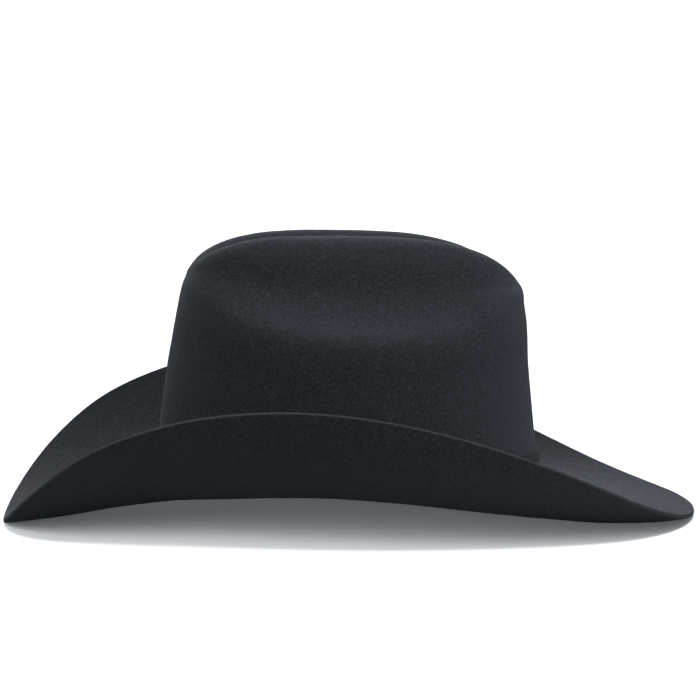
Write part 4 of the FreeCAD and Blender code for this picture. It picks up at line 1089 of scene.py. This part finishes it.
bev.width, bev.segments, bev.angle_limit = 0.00022, 2, math.radians(45)

# the other end, folded round the bar on both sides of the prong's eye
hs = np.linspace(-3.05, 3.05, 9)
flap = denser(cross_section([(1.15, 2.04), (14.0, 2.04), (14.0, 3.12), (1.15, 3.12)], 0.3), 0.9)
G = np.stack([on_wall(angle_at(flap[:, 0]), BAND_MID + h, flap[:, 1]) for h in hs])
shells = [grid_shell(G, False, True)]
a = np.linspace(0, 2 * math.pi, 28, endpoint=False)
c, s = np.cos(a), np.sin(a)
outer_loop = np.stack([np.where(c > 0, 1.30, 0.84) * c, np.where(s > 0, 0.56, 0.84) * s], 1)
inner_loop = np.stack([0.51 * c, 0.51 * s], 1)
for side in (1, -1):
    rings = []
    for h, loop in ((0.75, inner_loop), (0.75, (inner_loop + outer_loop) / 2), (0.80, outer_loop), (1.9, outer_loop), (2.95, outer_loop), (3.0, (inner_loop + outer_loop) / 2), (3.0, inner_loop)):
        rings.append(on_wall(angle_at(loop[:, 0]), BAND_MID + side * h, BAR_OUT + loop[:, 1]))
    shells.append(grid_shell(np.stack(rings), True, True))
assemble("band_folded_end", shells, [BAND_FELT], "hat", ["band_fold"])


def soft_rectangle(half_y, half_z, corner, steps=5):
    """Closed loop of points (y, z) round a rectangle with round corners; the same count whatever the size."""
    out = []
    for cy, cz, a0 in ((1, 1, 0), (-1, 1, 90), (-1, -1, 180), (1, -1, 270)):
        for k in range(steps + 1):
            a = math.radians(a0 + 90 * k / steps)
            out.append((cy * (half_y - corner) + corner * math.cos(a), cz * (half_z - corner) + corner * math.sin(a)))
    return np.array(out)


# frame: a U of flattened wire with a round bar between its arms
R0, o0 = spot(0.0, BAR_OUT)
R_frame = R0 @ turned(12.0)
path = [(1.0 - 0.62 * (1 - w), 4.6) for w in (1.0, 0.5, 0.0)]
path += [(x, 4.6) for x in np.linspace(0.0, -5.0, 8)]
path += [(-5.6 - 0.9 * math.sin(b), 3.7 + 0.9 * math.cos(b)) for b in np.linspace(0, math.pi / 2, 9)]
path += [(-6.5, y) for y in np.linspace(3.2, -3.2, 11)]
path += [(-5.6 - 0.9 * math.cos(b), -3.7 - 0.9 * math.sin(b)) for b in np.linspace(0, math.pi / 2, 9)]
path += [(x, -4.6) for x in np.linspace(-5.0, 0.0, 8)]
path += [(1.0 - 0.62 * (1 - w), -4.6) for w in (0.0, 0.5, 1.0)]
path = np.array(path)
T = np.gradient(path, axis=0)
T /= np.linalg.norm(T, axis=1, keepdims=True)
side_dir = np.stack([T[:, 1], -T[:, 0]], 1)
wire = soft_rectangle(0.70, 0.55, 0.40, 4)
scale = np.ones(len(path))
scale[0] = scale[-1] = 0.62
scale[1] = scale[-2] = 0.92
G = np.zeros((len(path), len(wire), 3))
for i, p in enumerate(path):
    G[i, :, :2] = p + wire[:, :1] * scale[i] * side_dir[i]
    G[i, :, 2] = wire[:, 1] * scale[i]
frame_shells = [placed_shell(grid_shell(G, False, True), R_frame, o0)]
bar_path = [(0, y, 0) for y in np.linspace(-4.7, 4.7, 12)]
frame_shells.append(placed_shell(tube_shell(bar_path, 0.5, (0, 0, 1), 16), R_frame, o0))
assemble("buckle_frame_ring", frame_shells, [NICKEL], "buckle_frame", ["band_buckle"])

# prong: a strip rolled into an eye on the bar, and a tapered rod that rests on the frame
R_prong = R0 @ turned(22.2)
a = np.linspace(0, 2 * math.pi, 26, endpoint=False)
eye_section = soft_rectangle(0.55, 0.15, 0.12, 3)
G = np.zeros((len(a), len(eye_section), 3))
for i, b in enumerate(a):
    rr = 0.71 + eye_section[:, 1]
    G[i, :, 0], G[i, :, 1], G[i, :, 2] = rr * math.cos(b), eye_section[:, 0], rr * math.sin(b)
prong_shells = [placed_shell(grid_shell(G), R_prong, o0)]
x = np.concatenate([np.linspace(-0.72, -6.9, 14), [-7.2, -7.45, -7.62, -7.72]])
r = np.concatenate([np.linspace(0.45, 0.42, 14), [0.40, 0.33, 0.22, 0.08]])
rod_path = np.stack([x, np.zeros_like(x), 0.10 * np.sin(np.clip(-x / 7.7, 0, 1) * math.pi)], 1)
prong_shells.append(placed_shell(tube_shell(rod_path, r, (0, 0, 1), 14, flat=0.92), R_prong, o0))
assemble("buckle_prong_rod", prong_shells, [NICKEL], "buckle_prong", ["band_buckle_prong"])

# keeper: a strip of metal bent into a loop, its front gently domed
R_k, o_k = spot(8.5, 3.2)
loop_out, loop_in = soft_rectangle(3.75, 1.565, 0.62, 6), soft_rectangle(3.30, 1.305, 0.30, 6)
loop_out[:, 1] += 1.565 - 1.47
loop_in[:, 1] += 0.14 + 1.305 - 1.47
outline = [(-1.3, 0.30), (-1.3, 0.70), (-1.16, 0.93), (-0.8, 1.0), (0.0, 1.0), (0.8, 1.0), (1.16, 0.93), (1.3, 0.70), (1.3, 0.30), (1.12, 0.0), (0.0, 0.0), (-1.12, 0.0)]
G = np.zeros((len(loop_out), len(outline), 3))
for j, (xx, w) in enumerate(outline):
    yz = loop_in + (loop_out - loop_in) * w
    G[:, j, 0] = xx
    G[:, j, 1:] = yz
assemble("band_keeper_loop", [placed_shell(grid_shell(G), R_k, o_k)], [NICKEL], "keeper", ["band_keeper"])

# metal tip: a domed cap with a round end and a mouth for the strap
R_t, o_t = spot(15.8, BAR_OUT + 1.13)
rings = []


def tip_ring(x, half_y, half_z, corner, mid=0.95 - 0.92, dome=0.0):
    loop = soft_rectangle(half_y, half_z, corner, 5)
    y, z = loop[:, 0], loop[:, 1]
    z = z + np.where(z > 0, -dome * (y / max(half_y, 0.1)) ** 2, 0.0)
    return np.stack([np.full(len(y), x), y, z + mid], 1)


for xx in (3.2, 1.6, 0.15):
    rings.append(tip_ring(xx, 3.20, 0.68, 0.25))
for xx, hy, hz in ((0.0, 3.28, 0.76), (0.0, 3.44, 0.86), (0.12, 3.55, 0.95), (0.5, 3.55, 0.95), (0.62, 3.47, 0.90), (0.78, 3.47, 0.90), (0.9, 3.55, 0.95), (2.2, 3.55, 0.95), (3.45, 3.55, 0.95)):
    rings.append(tip_ring(xx, hy, hz, 0.45, dome=0.22))
for b in np.linspace(0.12, 1.0, 10):
    xx = 3.45 + 3.55 * math.sin(b * math.pi / 2)
    hy = max(3.55 * math.cos(b * math.pi / 2), 0.25)
    hz = 0.95 * (1 - 0.62 * b ** 4)
    rings.append(tip_ring(xx, hy, hz, min(0.45, hy * 0.9, hz * 0.9), dome=0.22 * min(1.0, hy / 2)))
assemble("band_metal_tip", [placed_shell(grid_shell(np.stack(rings), False, True), R_t, o_t)], [NICKEL], "hat", ["band_tip"])

# =============================================================================
# Sweatband, its reed and tape, and the sewing
# =============================================================================
SW_OUT, SW_IN, SW_LOW, SW_HIGH = -3.9, -5.1, 1.8, 58.0
seam_t = math.pi + np.array([-0.0095, -0.0060, -0.0030, -0.0015, 0.0, 0.0015, 0.0030, 0.0060, 0.0095])
base_t = angles(432)
base_t = base_t[np.abs(base_t - math.pi) > 0.0125]
t_sw = np.sort(np.concatenate([base_t, seam_t]))
section = [(SW_LOW, SW_OUT), (SW_LOW, SW_IN), (SW_HIGH, SW_IN), (SW_HIGH, SW_OUT)]
section = cross_section(section, 0.55, 4)
section = denser(section, 2.4)
# closer rows by the stitched groove
extra = []
for i in range(len(section)):
    extra.append(section[i])
    nxt = section[(i + 1) % len(section)]
    if section[i][1] < -5.0 and nxt[1] < -5.0 and 2.0 < section[i][0] < 8.0:
        for w in (0.33, 0.67):
            extra.append(section[i] + (nxt - section[i]) * w)
section = np.array(extra)
soft = np.array([[noise.noise(Vector((math.cos(a) * s, math.sin(a) * s, z))) for a in t_sw] for s, z in ((3.0, 2.2), (7.0, 5.1), (16.0, 8.4))])
pucker = np.cos(96 * t_sw)
G = np.zeros((len(t_sw), len(section), 3))
seam = np.exp(-((t_sw - math.pi) / 0.0022) ** 2)
for j, (h, d) in enumerate(section):
    k = (h - SW_LOW) / (SW_HIGH - SW_LOW)
    move = np.zeros(len(t_sw))
    if d < -4.5:
        groove = math.exp(-((h - 4.6) / 1.1) ** 2)
        move += 0.20 * groove + 0.07 * math.exp(-((h - 5.5) / 3.0) ** 2) * pucker
        move += 0.45 * seam * min(1.0, max(0.0, (h - 9.0) / 2.0))
        move -= 0.22 * k * (soft[0] + 0.5) + 0.10 * soft[2] * min(1.0, k * 3)
    lift = 0.45 * k ** 3 * soft[1]
    G[:, j] = on_wall(t_sw, h + lift, d + move)
assemble("sweatband_leather", [grid_shell(G)], [LEATHER], "hat", ["sweatband"])

section = denser(cross_section([(1.6, -3.05), (1.6, -3.55), (9.0, -3.55), (9.0, -3.05)], 0.14, 2), 1.6)
t_tape = angles(360)
wav = np.array([noise.noise(Vector((math.cos(a) * 14, math.sin(a) * 14, 6.6))) for a in t_tape])
G = np.zeros((len(t_tape), len(section), 3))
for j, (h, d) in enumerate(section):
    G[:, j] = on_wall(t_tape, h + 0.12 * wav * (1 if h > 5 else 0), d)
assemble("sweatband_woven_tape", [grid_shell(G)], [TAPE], "hat", ["sweatband_reed_tape"])

t_reed = angles(540)
reed_r = 0.86 * (1 + 0.02 * np.array([noise.noise(Vector((math.cos(a) * 30, math.sin(a) * 30, 1.2))) for a in t_reed]))
assemble("sweatband_reed_cord", [tube_shell(on_wall(t_reed, 0.35, -4.3), reed_r, (0, 0, 1), 14, closed=True)], [REED], "hat", ["sweatband_reed"])

runs = []
for i in range(96):
    t = 2 * math.pi * (i + 0.5) / 96
    w = half_turn(t, 3.1)
    jit = 0.12 * noise.noise(Vector((i * 1.37, 0.2, 4.4)))
    runs.append((t - w, 4.6 + jit, t + w, 4.6 - jit, SW_IN + 0.10, -1, STITCH_R))
stitches("sweatband_stitch_row", runs, STITCH_R, SWEAT_THREAD, ["sweatband_stitches"])

runs = []
for i in range(9):
    h0 = 13.0 + 4.6 * i
    w = 0.018
    runs.append((math.pi - w, h0, math.pi + w, h0 + 2.0, SW_IN + 0.02, -1, STITCH_R))
    if i < 8:
        runs.append((math.pi + w, h0 + 2.2, math.pi - w, h0 + 4.4, SW_IN + 0.02, -1, STITCH_R * 0.9))
stitches("sweatband_zigzag_seam", runs, STITCH_R, SWEAT_THREAD, ["sweatband_seam"])

# blank woven label, its ends turned under and sewn down
t0, t1 = math.radians(146.0), math.radians(154.5)
q = np.linspace(0, 1, 33)
rows = denser(cross_section([(22.0, -5.19), (32.0, -5.19), (32.0, -5.44), (22.0, -5.44)], 0.10, 2), 0.8)
G = np.zeros((len(q), len(rows), 3))
for i, w in enumerate(q):
    end = min(w, 1 - w) * (t1 - t0) * 96.0
    puff = 0.16 * math.exp(-(end / 1.1) ** 2) + 0.05 * math.sin(w * 9.0)
    for j, (h, d) in enumerate(rows):
        G[i, j] = on_wall(t0 + (t1 - t0) * w, h, d - (puff if d < -5.3 else 0.0))
shells = [grid_shell(G, False, True)]
assemble("sweatband_blank_label", shells, [LABEL], "hat", ["size_label"])
runs = []
for end in (0.075, 0.925):
    for i in range(6):
        t = t0 + (t1 - t0) * end
        runs.append((t, 22.8 + 1.5 * i, t, 23.8 + 1.5 * i, -5.46, -1, 0.12))
stitches("label_sewing", runs, 0.12, SWEAT_THREAD, [])

# bow of narrow ribbon: two loops, two tails and a wrapped knot
bow_o = on_wall(math.pi, 8.5, -(5.1 + 1.15 + 0.55))
BX, BY, BZ = np.array((0, 1.0, 0)), np.array((0, 0, 1.0)), np.array((1.0, 0, 0))


def ribbon_shell(path, width, up, thick=0.26):
    """Flat ribbon along a path in the bow's own axes; width may vary, up is the ribbon's cross direction."""
    P = np.asarray(path, float)
    W = np.broadcast_to(np.asarray(width, float), (len(P),))
    U = np.broadcast_to(np.asarray(up, float), P.shape)
    T = np.gradient(P, axis=0)
    T /= np.linalg.norm(T, axis=1, keepdims=True)
    U = U - T * (U * T).sum(1, keepdims=True)
    U /= np.linalg.norm(U, axis=1, keepdims=True)
    N = np.cross(T, U)
    sec = [(-0.5, 0.5), (-0.25, 0.5), (0, 0.5), (0.25, 0.5), (0.5, 0.5), (0.5, -0.5), (0.25, -0.5), (0, -0.5), (-0.25, -0.5), (-0.5, -0.5)]
    G = np.stack([P + U * (W * a)[:, None] + N * (thick * b) for a, b in sec], 1)
    V, F, UVs, m = grid_shell(G, False, True)
    return np.stack([V @ np.stack([BX, BY, BZ])[:, k] for k in range(3)], 1) + bow_o, F, UVs, m


shells = []
for side in (1, -1):
    q = np.linspace(0, 1, 25)
    ang = q * 2 * math.pi
    px = side * (0.6 + 5.45 * (0.5 - 0.5 * np.cos(ang)) ** 0.85)
    pz = 0.70 * np.sin(ang) * (0.35 + 0.65 * (0.5 - 0.5 * np.cos(ang)))
    py = 0.55 * (0.5 - 0.5 * np.cos(ang)) + 0.15 * np.sin(ang)
    width = 2.0 + 2.2 * (0.5 - 0.5 * np.cos(ang))
    shells.append(ribbon_shell(np.stack([px, py, pz], 1), width, (0.0, 1.0, 0.0), 0.22))
    q = np.linspace(0, 1, 12)
    tail = np.stack([side * (0.3 + 4.3 * q), -0.4 - 2.1 * q ** 1.2, -0.10 + 0.30 * np.sin(q * math.pi)], 1)
    shells.append(ribbon_shell(tail, 2.1, (side * 0.45, 0.9, 0.0), 0.22))
a = np.linspace(0, 2 * math.pi, 22, endpoint=False)
knot = []
for b in a:
    cy, cz = 1.62 * math.copysign(abs(math.cos(b)) ** 0.7, math.cos(b)), 0.92 * math.copysign(abs(math.sin(b)) ** 0.8, math.sin(b))
    knot.append([(xx, cy * (1 - 0.10 * abs(xx) ** 2), cz * (1 - 0.10 * abs(xx) ** 2)) for xx in (-1.25, -1.1, -0.5, 0.0, 0.5, 1.1, 1.25)] +
                [(xx, cy * 0.72, cz * 0.62) for xx in (1.05, 0.0, -1.05)])
G = np.array(knot)
V, F, UVs, m = grid_shell(G, True, True)
shells.append((np.stack([V @ np.stack([BX, BY, BZ])[:, k] for k in range(3)], 1) + bow_o, F, UVs, m))
assemble("sweatband_ribbon_bow", shells, [RIBBON], "hat", ["sweatband_bow"])

# =============================================================================
# Lining: satin sides gathered into a piped seam round an oval tip
# =============================================================================
L_A, L_B, L_X, L_TOP = 88.0, 66.0, 2.0, 104.0
N_L = 900
t_l = angles(N_L)
rows_l = np.concatenate([np.linspace(0, 0.58, 9), np.linspace(0.63, 1.0, 17)])
drift = np.array([noise.noise(Vector((math.cos(a) * 4.5, math.sin(a) * 4.5, 3.3))) for a in t_l])
drift2 = np.array([noise.noise(Vector((math.cos(a) * 15, math.sin(a) * 15, 7.7))) for a in t_l])
PLEATS = 92


def pleat(v_row):
    """Height of the gathers, 0..1, on a row: folds wander and some run out lower down."""
    ph = PLEATS * t_l + 5.5 * drift + 2.0 * drift2 * (1.2 - v_row)
    big = (0.5 + 0.5 * np.cos(ph)) ** 1.5
    low = (0.5 + 0.5 * np.cos(ph * 0.5 + 2.0 * drift2)) ** 1.2
    k = min(1.0, max(0.0, (v_row - 0.62) / 0.38))
    return big * (0.35 + 0.65 * k) + low * 0.45 * (1 - k)


def lining_side_points(w):
    G = np.zeros((N_L, len(rows_l), 3))
    low = on_wall(t_l, 14.0, -3.45 + 0.4 * w)
    for j, v in enumerate(rows_l):
        z0 = low[:, 2] - DZ
        z = z0 + (L_TOP - 1.2 - z0) * v
        hgt = z - (ZB[0] + ZB[1] * np.cos(t_l) + ZB[2] * np.cos(2 * t_l))
        base = on_wall(t_l, hgt, -3.45 + 0.4 * w)
        tip = np.stack([L_X + (L_A - 0.6 + 0.4 * w) * np.cos(t_l) + DX, (L_B - 0.6 + 0.4 * w) * np.sin(t_l), base[:, 2]], 1)
        g = np.clip((z - 87.0) / (L_TOP - 1.2 - 87.0), 0, 1)
        g = g * g * (3 - 2 * g)
        P = base + (tip - base) * g[:, None]
        deep = np.where(hgt < 58.5, 0.28, 0.28 + 1.25 * np.clip((hgt - 58.5) / 9.0, 0, 1))
        deep = deep * (1 - 0.45 * max(0.0, (v - 0.93) / 0.07))
        inward = -out_at(t_l) * 0.95 + np.array((0, 0, -0.30)) * np.clip(g, 0, 1)[:, None]
        G[:, j] = P + inward * (deep * pleat(v))[:, None]
    return G


outer_l, inner_l = lining_side_points(1.0), lining_side_points(0.15)
G = np.concatenate([inner_l, outer_l[:, ::-1]], axis=1)
side = assemble("lining_gathered_side", [grid_shell(G, True, True)], [SATIN], "hat", ["lining_side"])

rho = np.concatenate([np.linspace(0.04, 0.84, 17), np.linspace(0.87, 1.0, 8)])
t_tip = angles(368)
ph = PLEATS * t_tip + 5.5 * np.interp(t_tip, t_l, drift)


def sag(r):
    return -0.7 * (1 - r * r)


def tip_points(z, lower):
    G = np.zeros((len(t_tip), len(rho), 3))
    for j, r in enumerate(rho):
        ripple = 0.16 * np.cos(ph) * max(0.0, (r - 0.72) / 0.28) ** 2 * (1 - max(0.0, (r - 0.96) / 0.04))
        G[:, j] = np.stack([L_X + DX + (L_A - 0.4) * r * np.cos(t_tip), (L_B - 0.4) * r * np.sin(t_tip), np.full(len(t_tip), L_TOP + DZ + z + sag(r)) + ripple], 1)
    return G


top_g, low_g = tip_points(0.38, False), tip_points(0.05, True)
G = np.concatenate([low_g, top_g[:, ::-1]], axis=1)
V, F, UVs, m = grid_shell(G, True, False, False)
# flat UVs from above, so the weave runs one way across the panel; the two centre holes are closed by fans
n_r = G.shape[1]
centre_low, centre_top = len(V), len(V) + 1
V = np.concatenate([V, [[L_X + DX, 0, L_TOP + DZ + 0.05 + sag(0)], [L_X + DX, 0, L_TOP + DZ + 0.38 + sag(0)]]])
for i in range(len(t_tip)):
    i2 = (i + 1) % len(t_tip)
    F.append((i * n_r, i2 * n_r, centre_low))
    F.append((i2 * n_r + n_r - 1, i * n_r + n_r - 1, centre_top))
UVs = [(V[q][0] * MM, V[q][1] * MM) for f in F for q in f]
tip_panel = assemble("lining_tip_panel", [(V, F, UVs, 0)], [SATIN], "hat", ["lining_tip"])

t_p = angles(620)
wrap = np.cos(PLEATS * 2 * t_p) * 0.5 + np.array([noise.noise(Vector((math.cos(a) * 40, math.sin(a) * 40, 2.9))) for a in t_p])
path = np.stack([L_X + DX + (L_A - 1.0) * np.cos(t_p), (L_B - 1.0) * np.sin(t_p), np.full(len(t_p), L_TOP + DZ - 0.80)], 1)
assemble("lining_side_piping", [tube_shell(path, 0.80 * (1 + 0.035 * wrap), (0, 0, 1), 12, closed=True)], [PIPING], "hat", ["lining_piping"])

# clear film under the tip, with a pressed rim
rho_f = np.concatenate([np.linspace(0.05, 0.9, 12), [0.925, 0.94, 0.955, 0.97, 0.985, 1.0]])
t_f = angles(160)


def film_points(z):
    G = np.zeros((len(t_f), len(rho_f), 3))
    for j, r in enumerate(rho_f):
        bead = -0.16 * math.exp(-((r - 0.955) / 0.014) ** 2)
        x, y = L_X + DX + 50.0 * r * np.cos(t_f), 34.0 * r * np.sin(t_f)
        rr = np.hypot((x - L_X - DX) / (L_A - 0.4), y / (L_B - 0.4))
        G[:, j] = np.stack([x, y, L_TOP + DZ - 0.02 + z - 0.7 * (1 - rr * rr) + bead - 0.10], 1)
    return G


G = np.concatenate([film_points(-0.12), film_points(0.0)[:, ::-1]], axis=1)
V, F, UVs, m = grid_shell(G, True, False, False)
n_r = G.shape[1]
c0, c1 = len(V), len(V) + 1
zc = L_TOP + DZ - 0.12 - 0.7
V = np.concatenate([V, [[L_X + DX, 0, zc - 0.12], [L_X + DX, 0, zc]]])
for i in range(len(t_f)):
    i2 = (i + 1) % len(t_f)
    F.append((i * n_r, i2 * n_r, c0))
    F.append((i2 * n_r + n_r - 1, i * n_r + n_r - 1, c1))
UVs = [(V[q][0] * MM, V[q][1] * MM) for f in F for q in f]
assemble("lining_clear_film", [(V, F, UVs, 0)], [FILM], "hat", ["tip_protector"])

# =============================================================================
# Stage: camera, floor, light
# =============================================================================
def look_along(ob, direction, roll=0.0):
    ob.rotation_mode = "QUATERNION"
    ob.rotation_quaternion = Vector(direction).to_track_quat("-Z", "Y") @ Quaternion((0, 0, 1), roll)


PSI, PITCH = math.radians(5.307), math.radians(5.6094)
DIST, EYE, SIDE = 1339.188, 223.2339, -1.7922
cam = bpy.data.cameras.new("camera")
cam_ob = bpy.data.objects.new("camera", cam)
scene.collection.objects.link(cam_ob)
cam_ob.location = ((-SIDE * math.cos(PSI) - DIST * math.sin(PSI) + DX) * MM,
                   (SIDE * math.sin(PSI) - DIST * math.cos(PSI)) * MM, (EYE + DZ) * MM)
look_along(cam_ob, (math.sin(PSI) * math.cos(PITCH), math.cos(PSI) * math.cos(PITCH), -math.sin(PITCH)), math.radians(-0.4372))
cam.sensor_width = 36.0
cam.lens = 2399.8089 / 700.0 * 36.0
cam.clip_end = 100.0
scene.camera = cam_ob


def floor_material():
    """Pale floor. It shows bright, as on a light table, and throws little light back up at the hat."""
    m = Mat("studio_floor")
    n = m.noise(2.0, 2.0, 0.5)
    m.set(Base_Color=m.mix(n, (0.86, 0.865, 0.875), (0.88, 0.885, 0.895)), Roughness=0.8, Specular_IOR_Level=0.2)
    m.set(Emission_Color=(0.90, 0.94, 1.0, 1.0), Emission_Strength=0.080)
    dim = m.t.nodes.new("ShaderNodeBsdfDiffuse")
    dim.inputs["Color"].default_value = (0.105, 0.108, 0.112, 1.0)
    ray = m.t.nodes.new("ShaderNodeLightPath")
    both = m.t.nodes.new("ShaderNodeMixShader")
    m.link(ray.outputs["Is Camera Ray"], both.inputs[0])
    m.link(dim.outputs[0], both.inputs[1])
    m.link(m.bsdf.outputs[0], both.inputs[2])
    # seen from below it is clear, so that the inside of the hat shows
    clear = m.t.nodes.new("ShaderNodeBsdfTransparent")
    under = m.t.nodes.new("ShaderNodeNewGeometry")
    one_way = m.t.nodes.new("ShaderNodeMixShader")
    m.link(under.outputs["Backfacing"], one_way.inputs[0])
    m.link(both.outputs[0], one_way.inputs[1])
    m.link(clear.outputs[0], one_way.inputs[2])
    m.link(one_way.outputs[0], m.out.inputs["Surface"])
    return m.m


floor = new_mesh("studio_floor", [(-6, -6, 0), (6, -6, 0), (6, 6, 0), (-6, 6, 0)], [(0, 1, 2, 3)], smooth=False)
floor.data.materials.append(floor_material())

world = bpy.data.worlds.new("studio")
scene.world = world
world.use_nodes = True
wt = world.node_tree
wt.nodes.clear()
w_out = wt.nodes.new("ShaderNodeOutputWorld")
w_mix = wt.nodes.new("ShaderNodeMixShader")
w_ray = wt.nodes.new("ShaderNodeLightPath")
w_fill = wt.nodes.new("ShaderNodeBackground")
w_fill.inputs["Color"].default_value = (0.87, 1.0, 1.06, 1.0)
w_fill.inputs["Strength"].default_value = 0.405
w_back = wt.nodes.new("ShaderNodeBackground")
w_back.inputs["Color"].default_value = (1.0, 1.0, 1.0, 1.0)
w_back.inputs["Strength"].default_value = 1.05
wt.links.new(w_ray.outputs["Is Camera Ray"], w_mix.inputs[0])
wt.links.new(w_fill.outputs[0], w_mix.inputs[1])
wt.links.new(w_back.outputs[0], w_mix.inputs[2])
wt.links.new(w_mix.outputs[0], w_out.inputs[0])


def area_light(name, location, target, size, power, color=(1, 1, 1)):
    l = bpy.data.lights.new(name, "AREA")
    l.shape = "RECTANGLE"
    l.size, l.size_y = size
    l.energy = power
    l.color = color
    o = bpy.data.objects.new(name, l)
    scene.collection.objects.link(o)
    o.location = location
    look_along(o, Vector(target) - Vector(location))
    return o


def sun_light(name, source, strength, angle, color=(1, 1, 1)):
    l = bpy.data.lights.new(name, "SUN")
    l.energy = strength
    l.angle = math.radians(angle)
    l.color = color
    o = bpy.data.objects.new(name, l)
    scene.collection.objects.link(o)
    o.location = source
    look_along(o, -Vector(source))
    return o


def from_angles(azimuth, elevation):
    a, e = math.radians(azimuth), math.radians(elevation)
    return (math.cos(a) * math.cos(e), math.sin(a) * math.cos(e), math.sin(e))


hat_lights = [
    sun_light("back_light", from_angles(92, 36), 1.70, 32.0, (1.03, 0.95, 0.965)),
    sun_light("front_key", from_angles(327, 17), 1.12, 30.0, (0.92, 1.01, 1.05)),
    sun_light("front_fill", from_angles(226, 14), 0.33, 34.0, (0.92, 1.01, 1.05)),
    sun_light("overhead", from_angles(0, 84), 1.22, 30.0, (1.01, 0.955, 0.97)),
]
floor_lights = [
    sun_light("floor_key", from_angles(272, 60), 2.9, 15.0),
    sun_light("floor_fill", from_angles(226, 21), 4.4, 50.0),
]


def only_for(lights, name, objects):
    """The lights shine only on these objects; everything still casts shadows."""
    group = bpy.data.collections.new(name)
    for o in objects:
        group.objects.link(o)
    for l in lights:
        l.light_linking.receiver_collection = group


only_for(floor_lights, "lit_by_floor_lights", [floor])
only_for(hat_lights, "lit_by_hat_lights", [o for o in scene.objects if o.type == "MESH" and o != floor])

scene.view_settings.view_transform = "Standard"
scene.view_settings.look = "None"
